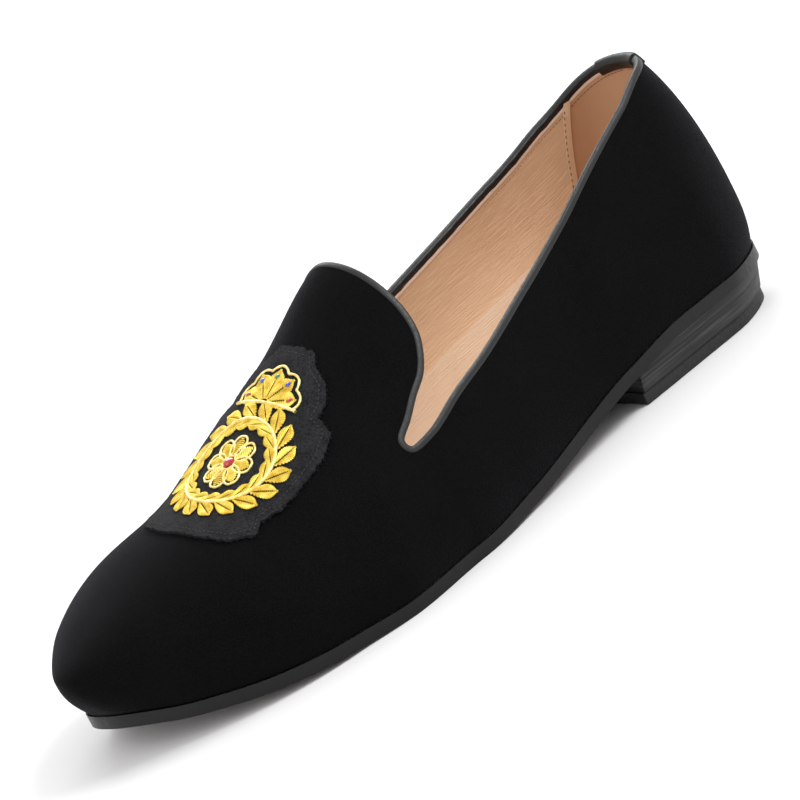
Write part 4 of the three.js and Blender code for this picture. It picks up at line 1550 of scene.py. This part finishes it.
class Threads:
    """Many short threads gathered into one piece."""

    bluntness = 6

    def __init__(self, name: str, sides: int = 6, rings: int = 5) -> None:
        """Models one thread as a ball to be drawn out, which is then copied.

        Args:
            name: the finished piece.
            sides: faces round the thread.
            rings: rings of vertices between its ends.
        """
        deselect()
        bpy.ops.mesh.primitive_uv_sphere_add(segments=sides, ring_count=rings + 1, radius=1)
        self.thing = take(name)
        ball = coordinates(self.thing)
        self.along = (1 + ball[:, 2]) / 2
        self.angle = np.arctan2(ball[:, 1], ball[:, 0])
        self.girth = np.sqrt(np.maximum(0, 1 - ball[:, 2] ** self.bluntness))
        self.places: list[np.ndarray] = []

    def lay(self, path: np.ndarray, radius: float, up: np.ndarray) -> None:
        """Lays one thread along a path.

        Args:
            path: points from end to end, evenly spaced.
            radius: half its thickness.
            up: direction away from the ground it lies on.
        """
        run = np.linspace(0, 1, len(path))
        along = np.gradient(path, axis=0)
        side = np.cross(along, up)
        rise = np.cross(along, side)
        frame = []
        for rows in (path, side, rise):
            rows = np.stack([np.interp(self.along, run, rows[:, k]) for k in range(3)], axis=-1)
            frame.append(rows)
        spine, side, rise = frame
        side /= np.linalg.norm(side, axis=1, keepdims=True)
        rise /= np.linalg.norm(rise, axis=1, keepdims=True)
        across = np.cos(self.angle)[:, None] * side + np.sin(self.angle)[:, None] * rise
        self.places.append(spine + across * radius * self.girth[:, None])

    def build(self) -> bpy.types.Object:
        """Copies the thread and lays every copy in its place."""
        count = len(self.places)
        finish_modifier(self.thing, "ARRAY", count=count, use_relative_offset=False)
        shape(self.thing, np.vstack(self.places))
        smooth(self.thing, 50)
        return self.thing


@dataclass
class Seams:
    """What is sewn inside: the lapped seam of the heel pocket and the rows of stitches."""

    last: Last
    wardrobe: Wardrobe
    wall: float = 2 * MM
    seam_foot: float = 107.2 * MM
    seam_slope: float = 0.2
    seam_low: float = 24 * MM
    seam_high: float = 80 * MM
    strap_width: float = 2.6 * MM
    strap_lift: float = 0.32 * MM
    row_gap: float = -1.0 * MM
    pitch: float = 2.1 * MM
    thread: float = 0.17 * MM
    top_row_drop: float = 4.8 * MM
    top_row_start: float = 80 * MM
    top_row_end: float = 138 * MM
    top_pitch: float = 1.5 * MM
    top_thread: float = 0.1 * MM
    parts: int = 6
    seam_shown: int = 3
    top_shown: int = 5
    strap_root: float = -0.15 * MM
    strap_flat: float = 0.8
    stitch_lean: float = -0.35
    line_points: int = 120

    def seam_line(self, side: int, aside: float, lift: float) -> np.ndarray:
        """Line beside the pocket's seam on one wall.

        Args:
            side: 1 for the outer wall, -1 for the inner wall.
            aside: how far behind the seam.
            lift: how far off the lining.

        Returns:
            Points from the foot up.
        """
        z = np.linspace(self.seam_low, self.seam_high, self.line_points)
        y = self.seam_foot + self.seam_slope * z + aside
        return self.last.wall(y, z, side, -self.wall - lift)

    def sew(
        self,
        threads: Threads,
        path: np.ndarray,
        up: np.ndarray,
        pitch: float,
        radius: float,
        shown: int,
    ) -> None:
        """Sews a row of stitches along a path.

        Args:
            threads: the piece that they go into.
            path: the row, from end to end.
            up: direction away from the lining.
            pitch: from one stitch to the next.
            radius: half the thread's thickness.
            shown: how many of the pitch's parts the thread shows in.
        """
        dots = even_points(path, pitch / self.parts, closed=False)
        for i in range(0, len(dots) - self.parts, self.parts):
            threads.lay(dots[i : i + shown + 1], radius, up)

    def build_strap(self, side: int, name: str) -> None:
        """The narrow strap over the seam on one wall."""
        half = self.strap_width / 2
        flat = self.strap_flat * half
        spots = (
            (-half, self.strap_root),
            (-flat, self.strap_lift),
            (flat, self.strap_lift),
            (half, self.strap_root),
        )
        sections = np.stack([self.seam_line(side, a, b) for a, b in spots], axis=1)
        thing = tube(name, sections, False)
        smooth(thing, 50)
        dress(thing, "lining", self.wardrobe.strap)

    def build(self) -> None:
        """Builds the straps and the stitches."""
        threads = Threads("lining_stitches", sides=6, rings=3)
        for side, name in ((1, "seam_strap_outer"), (-1, "seam_strap_inner")):
            self.build_strap(side, name)
            up = np.array([-side, self.stitch_lean, 0.0])
            seam = self.seam_line(side, self.row_gap, self.strap_lift)
            self.sew(threads, seam, up, self.pitch, self.thread, self.seam_shown)
            edge = self.last.opening_edge("outer" if side > 0 else "inner", FINE_STEPS)
            row = edge[(edge[:, 1] > self.top_row_start) & (edge[:, 1] < self.top_row_end)]
            z = row[:, 2] - self.top_row_drop
            line = self.last.wall(row[:, 1], z, side, -self.wall)
            self.sew(threads, line, up, self.top_pitch, self.top_thread, self.top_shown)
        dress(threads.build(), "lining", self.wardrobe.tan_thread)


@dataclass
class Badge:
    """Felt patch on the vamp with gilt embroidery: a leaf wreath, a flower and a fan."""

    last: Last
    wardrobe: Wardrobe
    seed: int = 7
    centre_x: float = 8.95 * MM
    at: float = 0.717
    patch_width: float = 53 * MM
    patch_length: float = 67 * MM
    gap: float = 0.3 * MM
    felt_thickness: float = 1.0 * MM
    thread: float = 0.36 * MM
    wreath_width: float = 41 * MM
    wreath_length: float = 39 * MM
    wreath_band: float = 9 * MM
    wreath_leaves: int = 18
    wreath_forward: float = 6 * MM
    flower_radius: float = 9 * MM
    petals: int = 8
    fan_radius: float = 12.5 * MM
    fan_lobes: int = 5
    fan_gap: float = 0.6 * MM
    fan_root: float = 1.2 * MM
    fan_edge: float = 0.9 * MM
    fan_dip: float = 1.5 * MM
    lobe_inset: float = 1.4 * MM
    lobe_width: float = 5.9 * MM
    bar_forward: float = 0.3 * MM
    edge_step: float = 0.8 * MM
    ragged: float = 0.16 * MM
    patch_margin: float = 1.02
    patch_faces: tuple[int, int] = (110, 112)
    felt_lump: float = 0.03 * MM
    fray_count: int = 2
    fray_turn: float = 0.75
    fray_length: tuple[float, float] = (0.7 * MM, 1.7 * MM)
    fray_lift: tuple[float, float] = (0.1 * MM, 0.95 * MM)
    fray_root: float = 0.5 * MM
    fray_rise: float = 0.2 * MM
    fray_low: float = 0.1 * MM
    fray_radius: float = 0.07 * MM
    stitch_step: float = 0.3 * MM
    stitch_run: int = 5
    stitch_shown: int = 4
    stitch_inset: float = 1.9 * MM
    stitch_lift: float = 0.06 * MM
    stitch_radius: float = 0.13 * MM
    wire_pitch: float = 0.62 * MM
    leaf_lean: float = 0.52
    outer_leaf: tuple[float, float] = (8.6 * MM, 4.6 * MM)
    inner_leaf: tuple[float, float] = (6.6 * MM, 3.6 * MM)
    wreath_cord: float = 0.62 * MM
    petal_cord: float = 0.42 * MM
    fan_cord: float = 0.45 * MM
    bar_cord: float = 0.6 * MM
    ring_cord: float = 0.3 * MM
    petal_root: float = 2.2 * MM
    petal_width: float = 5.4 * MM
    petal_wires: int = 9
    fill_root: float = 2.6 * MM
    fill_edge: float = 0.6 * MM
    fill_half: float = 2.2 * MM
    large_stone: float = 2.1 * MM
    small_stone: float = 1.25 * MM
    stone_inset: float = 3.4 * MM
    stone_height: float = 0.62
    stone_kinds: tuple[int, ...] = (0, 1, 2, 1, 0)

    @property
    def centre(self) -> np.ndarray:
        """Middle of the patch in plan."""
        return np.array([self.centre_x, self.last.lengthwise(self.at)])

    @property
    def wreath_centre(self) -> np.ndarray:
        """Middle of the wreath in plan."""
        return self.centre - np.array([0, self.wreath_forward])

    @property
    def fan_centre(self) -> np.ndarray:
        """Middle of the fan's straight edge in plan."""
        return self.wreath_centre + np.array([0, self.wreath_length / 2 + self.fan_gap])

    def outline(self) -> np.ndarray:
        """Outline of the patch in plan."""
        half = np.array([self.patch_width / 2, self.patch_length / 2])
        right = np.array(PATCH_HALF) * half
        left = (right * np.array([-1, 1]))[::-1]
        return np.vstack([right, left]) + self.centre

    def inward_from(self, edge: np.ndarray) -> np.ndarray:
        """Directions in plan from the patch's edge to its middle."""
        inward = self.centre - edge
        return inward / np.linalg.norm(inward, axis=1, keepdims=True)

    def build_patch(self) -> None:
        """The felt, cut by hand."""
        chance = np.random.default_rng(self.seed)
        edge = even_points(self.outline(), self.edge_step, closed=True)
        inward = self.inward_from(edge)
        edge = edge + inward * chance.normal(0, self.ragged, (len(edge), 1))
        thing, across, along = grid("felt_patch", *self.patch_faces)
        half = np.array([self.patch_width / 2, self.patch_length / 2]) * self.patch_margin
        plan = self.centre + np.column_stack([across, 2 * along - 1]) * half
        shape(thing, np.column_stack([plan, np.zeros(len(plan))]))
        middle, _ = face_centres(thing)
        drop_faces(thing, ~inside_outline(middle[:, :2], edge))
        plan = self.snap_to_edge(thing, coordinates(thing)[:, :2], edge)
        top = self.gap + self.felt_thickness + chance.normal(0, self.felt_lump, len(plan))
        shape(thing, self.last.over(plan[:, 0], plan[:, 1], top))
        finish_modifier(thing, "SOLIDIFY", thickness=self.felt_thickness, offset=-1)
        smooth(thing, 50)
        dress(thing, "felt", self.wardrobe.felt)
        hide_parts("badge_patch")
        self.build_fray(chance, edge, inward)
        self.build_felt_stitches()

    def build_fray(self, chance: np.random.Generator, edge: np.ndarray, inward: np.ndarray) -> None:
        """Loose fibres along the felt's edge.

        Args:
            chance: source of the random draws.
            edge: points on the edge, in plan.
            inward: directions from them to the patch's middle.
        """
        fray = Threads("felt_fray", sides=4, rings=3)
        steps = np.linspace(0, 1, 4)[:, None]
        for point, back in zip(edge, inward):
            for _ in range(self.fray_count):
                ahead, aside = heading(chance.normal(0, self.fray_turn))
                spread = back[0] * ahead + back[1] * aside
                length = chance.uniform(*self.fray_length)
                lift = self.gap + chance.uniform(*self.fray_lift)
                flat = point + back * self.fray_root - spread * steps * length
                rise = lift + chance.normal(0, self.fray_rise) * steps[:, 0] ** 2
                path = self.last.over(flat[:, 0], flat[:, 1], np.maximum(rise, self.fray_low))
                fray.lay(path, self.fray_radius, np.array([0.1, 0.1, 1.0]))
        dress(fray.build(), "felt", self.wardrobe.felt)

    def build_felt_stitches(self) -> None:
        """The row of stitches that holds the felt, just inside its edge."""
        threads = Threads("felt_stitches", sides=6, rings=3)
        edge = even_points(self.outline(), self.stitch_step, closed=True)
        line = edge + self.inward_from(edge) * self.stitch_inset
        lift = self.gap + self.felt_thickness + self.stitch_lift
        path = self.last.over(line[:, 0], line[:, 1], lift)
        for i in range(0, len(path) - self.stitch_run, self.stitch_run):
            threads.lay(path[i : i + self.stitch_shown], self.stitch_radius, UP)
        dress(threads.build(), "felt", self.wardrobe.felt_thread)

    def snap_to_edge(
        self, thing: bpy.types.Object, plan: np.ndarray, edge: np.ndarray
    ) -> np.ndarray:
        """Moves the border's vertices onto the outline."""
        border = border_vertices(thing)
        distance = np.linalg.norm(plan[border][:, None, :] - edge[None], axis=2)
        moved = plan.copy()
        moved[border] = edge[distance.argmin(axis=1)]
        return moved

    def leaf(
        self, threads: Threads, root: np.ndarray, angle: float, length: float, width: float
    ) -> None:
        """Leaf of slanting wires either side of a rib.

        Args:
            threads: the piece that it goes into.
            root: where it starts, in plan.
            angle: the way it points, in plan.
            length: from root to tip.
            width: at its widest.
        """
        ahead, aside = heading(angle)
        count = max(4, round(length / self.wire_pitch))
        for side in (-1, 1):
            for i in range(count):
                t = (i + 0.5) / count
                reach = width / 2 * math.sin(math.pi * min(1, t * 1.06) ** 0.8) + 0.15 * MM
                inner = root + ahead * (t * length) + aside * side * 0.08 * MM
                outer = inner + aside * side * reach + ahead * reach * 0.75
                steps = np.linspace(0, 1, 5)[:, None]
                plan = inner + (outer - inner) * steps
                lift = self.thread * (0.9 + 0.9 * np.sin(math.pi * (0.12 + 0.8 * steps[:, 0])))
                threads.lay(self.raised(plan, lift), self.thread * 0.82, UP)

    def raised(self, plan: np.ndarray, lift: np.ndarray) -> np.ndarray:
        """Points over the felt with a lift for each."""
        base = self.gap + self.felt_thickness
        return self.last.over(plan[:, 0], plan[:, 1], base + lift)

    def rope(self, name: str, plan: np.ndarray, radius: float, closed: bool) -> bpy.types.Object:
        """Twisted cord laid along a line.

        Args:
            name: the piece.
            plan: the line in plan.
            radius: half the cord's thickness.
            closed: whether the line is a loop.

        Returns:
            The cord.
        """
        line = even_points(plan, 0.3 * MM, closed)
        path = self.raised(line, np.full(len(line), radius * 0.9))
        if closed:
            along = np.roll(path, -1, axis=0) - np.roll(path, 1, axis=0)
        else:
            along = np.gradient(path, axis=0)
        along /= np.linalg.norm(along, axis=1, keepdims=True)
        side = np.cross(along, UP)
        side /= np.linalg.norm(side, axis=1, keepdims=True)
        rise = np.cross(side, along)
        angle = np.linspace(0, 2 * math.pi, 12, endpoint=False)
        turns = round(len(path) / 7)
        twist = np.arange(len(path))[:, None] * (2 * math.pi * turns / len(path))
        size = radius * (0.82 + 0.2 * np.abs(np.cos(angle[None] - twist / 2)))
        ring = (
            np.cos(angle)[None, :, None] * side[:, None, :]
            + np.sin(angle)[None, :, None] * rise[:, None, :]
        )
        sections = path[:, None, :] + ring * size[:, :, None]
        return tube(name, sections, closed)

    def gild(self, cord: bpy.types.Object, gold: bpy.types.Material) -> None:
        """Finishes a cord in one of the golds."""
        smooth(cord, 60)
        dress(cord, "gold_thread", gold)

    def oval(
        self, centre: np.ndarray, width: float, length: float, count: int = 160
    ) -> np.ndarray:
        """Oval outline in plan."""
        angle = np.linspace(0, 2 * math.pi, count, endpoint=False)
        return centre + np.column_stack([np.cos(angle) * width / 2, np.sin(angle) * length / 2])

    def build_wreath(self) -> None:
        """Closed wreath of leaves on a twisted cord."""
        leaves = Threads("wreath_leaves")
        width = self.wreath_width - self.wreath_band
        length = self.wreath_length - self.wreath_band
        for i in range(self.wreath_leaves):
            angle = 2 * math.pi * (i + 0.5) / self.wreath_leaves
            on = np.array([math.cos(angle) * width / 2, math.sin(angle) * length / 2])
            tangent = math.atan2(math.cos(angle) * length, -math.sin(angle) * width)
            for side in (-1, 1):
                root = self.wreath_centre + on * (1 + 0.02 * side)
                lean = tangent - side * self.leaf_lean
                size = self.outer_leaf if side > 0 else self.inner_leaf
                self.leaf(leaves, root, lean, *size)
        thing = leaves.build()
        dress(thing, "gold_thread", self.wardrobe.gold)
        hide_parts("badge_wreath")
        cord = self.rope(
            "wreath_cord",
            self.oval(self.wreath_centre, width, length),
            self.wreath_cord,
            closed=True,
        )
        self.gild(cord, self.wardrobe.pale_gold)

    def petal_outline(self, turn: float, inner: float, outer: float, width: float) -> np.ndarray:
        """Outline of one petal in plan."""
        t = np.linspace(0, math.pi, 22)
        along = inner + (outer - inner) * (1 - np.cos(t)) / 2
        half = width / 2 * np.sin(t) ** 0.7
        ahead, aside = heading(turn)
        right = along[:, None] * ahead + half[:, None] * aside
        left = (along[:, None] * ahead - half[:, None] * aside)[::-1]
        return self.wreath_centre + np.vstack([right, left[1:-1]])

    def build_flower(self) -> None:
        """Eight petals of laid wire, each edged with cord."""
        fill = Threads("flower_petals")
        for i in range(self.petals):
            turn = 2 * math.pi * i / self.petals
            ahead, aside = heading(turn)
            inner, outer = self.fill_root, self.flower_radius - self.fill_edge
            for k in range(self.petal_wires):
                t = (k + 0.5) / self.petal_wires
                half = self.fill_half * math.sin(math.pi * t) ** 0.7
                middle = self.wreath_centre + ahead * (inner + (outer - inner) * t)
                steps = np.linspace(-1, 1, 5)[:, None]
                plan = middle + aside * steps * half
                lift = self.thread * (0.8 + 0.7 * (1 - steps[:, 0] ** 2))
                fill.lay(self.raised(plan, lift), self.thread * 0.85, UP)
            edge = self.rope(
                f"petal_cord_{i + 1}",
                self.petal_outline(turn, self.petal_root, self.flower_radius, self.petal_width),
                self.petal_cord,
                closed=True,
            )
            self.gild(edge, self.wardrobe.pale_gold)
        thing = fill.build()
        dress(thing, "gold_thread", self.wardrobe.gold)
        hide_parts("badge_flower")

    def build_fan(self) -> None:
        """Five-lobed fan behind the wreath."""
        centre = self.fan_centre
        fill = Threads("fan_lobes")
        for i in range(self.fan_lobes):
            turn = math.pi * (i + 0.5) / self.fan_lobes
            length = self.fan_radius - self.fan_edge - self.lobe_inset
            root = centre + self.fan_root * heading(turn)[0]
            self.leaf(fill, root, turn, length, self.lobe_width)
        thing = fill.build()
        dress(thing, "gold_thread", self.wardrobe.gold)
        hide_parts("badge_fan")
        angle = np.linspace(0.02, math.pi - 0.02, 120)
        radius = self.fan_radius - self.fan_dip * (1 - np.abs(np.sin(angle * self.fan_lobes)))
        arc = centre + np.column_stack([np.cos(angle), np.sin(angle)]) * radius[:, None]
        cord = self.rope("fan_cord", arc, self.fan_cord, closed=False)
        self.gild(cord, self.wardrobe.pale_gold)
        base = np.column_stack(
            [np.linspace(-1, 1, 40) * self.fan_radius, np.full(40, self.bar_forward)]
        )
        bar = self.rope("fan_bar", centre + base, self.bar_cord, closed=False)
        self.gild(bar, self.wardrobe.pale_gold)

    def stone(self, name: str, place: np.ndarray, radius: float, kind: int) -> None:
        """Cut stone in a ring of wire, in plan at a place."""
        deselect()
        bpy.ops.mesh.primitive_ico_sphere_add(subdivisions=2, radius=1)
        thing = take(name)
        base = self.raised(place[None], np.array([self.thread]))[0]
        flat = coordinates(thing) * np.array([radius, radius, radius * self.stone_height])
        shape(thing, flat + base)
        smooth(thing, 5)
        dress(thing, "gold_thread", self.wardrobe.stones[kind])
        collar = self.rope(
            name + "_ring",
            self.oval(place, 2.3 * radius, 2.3 * radius, 40),
            self.ring_cord,
            closed=True,
        )
        self.gild(collar, self.wardrobe.gold)

    def build_stones(self) -> None:
        """The stones of the flower and of the fan."""
        self.stone("stone_middle", self.wreath_centre, self.large_stone, 0)
        for i in range(self.fan_lobes):
            turn = math.pi * (i + 0.5) / self.fan_lobes
            place = self.fan_centre + heading(turn)[0] * (self.fan_radius - self.stone_inset)
            self.stone(f"stone_{i + 1}", place, self.small_stone, self.stone_kinds[i])

    def build(self) -> None:
        """Builds the badge from the felt up."""
        self.build_patch()
        self.build_wreath()
        self.build_flower()
        self.build_fan()
        self.build_stones()


def inside_outline(points: np.ndarray, outline: np.ndarray) -> np.ndarray:
    """Which points lie inside a closed outline in plan."""
    x, y = points[:, 0:1], points[:, 1:2]
    a, b = outline, np.roll(outline, -1, axis=0)
    crosses = (a[None, :, 1] > y) != (b[None, :, 1] > y)
    with np.errstate(divide="ignore", invalid="ignore"):
        at = a[:, 0] + (y - a[:, 1]) * (b[:, 0] - a[:, 0]) / (b[:, 1] - a[:, 1])
    return (np.sum(crosses & (x < at), axis=1) % 2).astype(bool)


class Lamp(NamedTuple):
    """Soft square light: where it hangs, its side in metres and its power in watts."""

    name: str
    place: tuple[float, float, float]
    size: float
    power: float


LAMPS = (
    Lamp("key", (0.8, 0.8, 1.3), 0.8, 16),
    Lamp("fill", (0.3, -1.3, 0.9), 1.0, 6),
    Lamp("rim", (-0.9, 0.7, 0.9), 0.8, 7),
)


@dataclass
class Studio:
    """Floor, light and camera."""

    target: tuple[float, float, float] = (0.95 * MM, 0.0, 40 * MM)
    azimuth: float = 56.184
    elevation: float = 14.935
    roll: float = -27.238
    distance: float = 1.4
    focal_pixels: float = 3527.0
    closer: float = 1.3
    frame_pixels: float = 800.0
    sensor: float = 36.0
    clip_end: float = 100.0
    floor_size: float = 30.0
    floor_grey: float = 0.86
    sky: float = 0.9

    def build_camera(self) -> None:
        """Camera at the photograph's angle to the shoe."""
        azimuth, elevation, roll = (
            math.radians(v) for v in (self.azimuth, self.elevation, self.roll)
        )
        ahead = Vector(
            (
                -math.sin(azimuth) * math.cos(elevation),
                math.cos(azimuth) * math.cos(elevation),
                -math.sin(elevation),
            )
        )
        right = Vector((math.cos(azimuth), math.sin(azimuth), 0))
        up = right.cross(ahead)
        turned_right = math.cos(roll) * right + math.sin(roll) * up
        turned_up = -math.sin(roll) * right + math.cos(roll) * up
        data = bpy.data.cameras.new("camera")
        data.sensor_width = self.sensor
        data.lens = self.focal_pixels * self.closer / self.frame_pixels * self.sensor
        data.clip_end = self.clip_end
        camera = bpy.data.objects.new("camera", data)
        bpy.context.scene.collection.objects.link(camera)
        turn = Matrix((turned_right, turned_up, -ahead)).transposed()
        camera.matrix_world = Matrix.Translation(
            Vector(self.target) - ahead * self.distance
        ) @ turn.to_4x4()
        bpy.context.scene.camera = camera

    def hang(self, lamp: Lamp) -> None:
        """Hangs a lamp and aims it at the shoe."""
        data = bpy.data.lights.new(lamp.name, "AREA")
        data.shape = "SQUARE"
        data.size = lamp.size
        data.energy = lamp.power
        light = bpy.data.objects.new(lamp.name, data)
        bpy.context.scene.collection.objects.link(light)
        light.location = lamp.place
        aim = Vector(self.target) - Vector(lamp.place)
        light.rotation_euler = aim.to_track_quat("-Z", "Y").to_euler()

    def build(self) -> None:
        """Builds the studio."""
        deselect()
        bpy.ops.mesh.primitive_plane_add(size=self.floor_size)
        floor = take("floor")
        pale = (self.floor_grey,) * 3 + (1,)
        finish = Finish("floor", COLOUR=pale, ROUGHNESS=0.9, SPECULAR=0.1)
        floor.data.materials.append(finish.material)
        world = bpy.data.worlds.new("studio")
        world.use_nodes = True
        background = world.node_tree.nodes["Background"]
        background.inputs["Color"].default_value = (1, 1, 1, 1)
        background.inputs["Strength"].default_value = self.sky
        bpy.context.scene.world = world
        for lamp in LAMPS:
            self.hang(lamp)
        bpy.context.scene.view_settings.view_transform = "Standard"
        self.build_camera()


def main() -> None:
    """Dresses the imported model."""
    logging.basicConfig(level=logging.INFO, format="%(name)s %(message)s")
    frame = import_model()
    LOG.info("%d nodes in the frame", len(frame["nodes"]))
    last = Last()
    wardrobe = Wardrobe()
    Studio().build()
    Shell(last, wardrobe).build()
    Binding(last, wardrobe).build()
    Seams(last, wardrobe).build()
    Bottom(last, wardrobe).build()
    Badge(last, wardrobe).build()


if __name__ == "__main__":
    main()
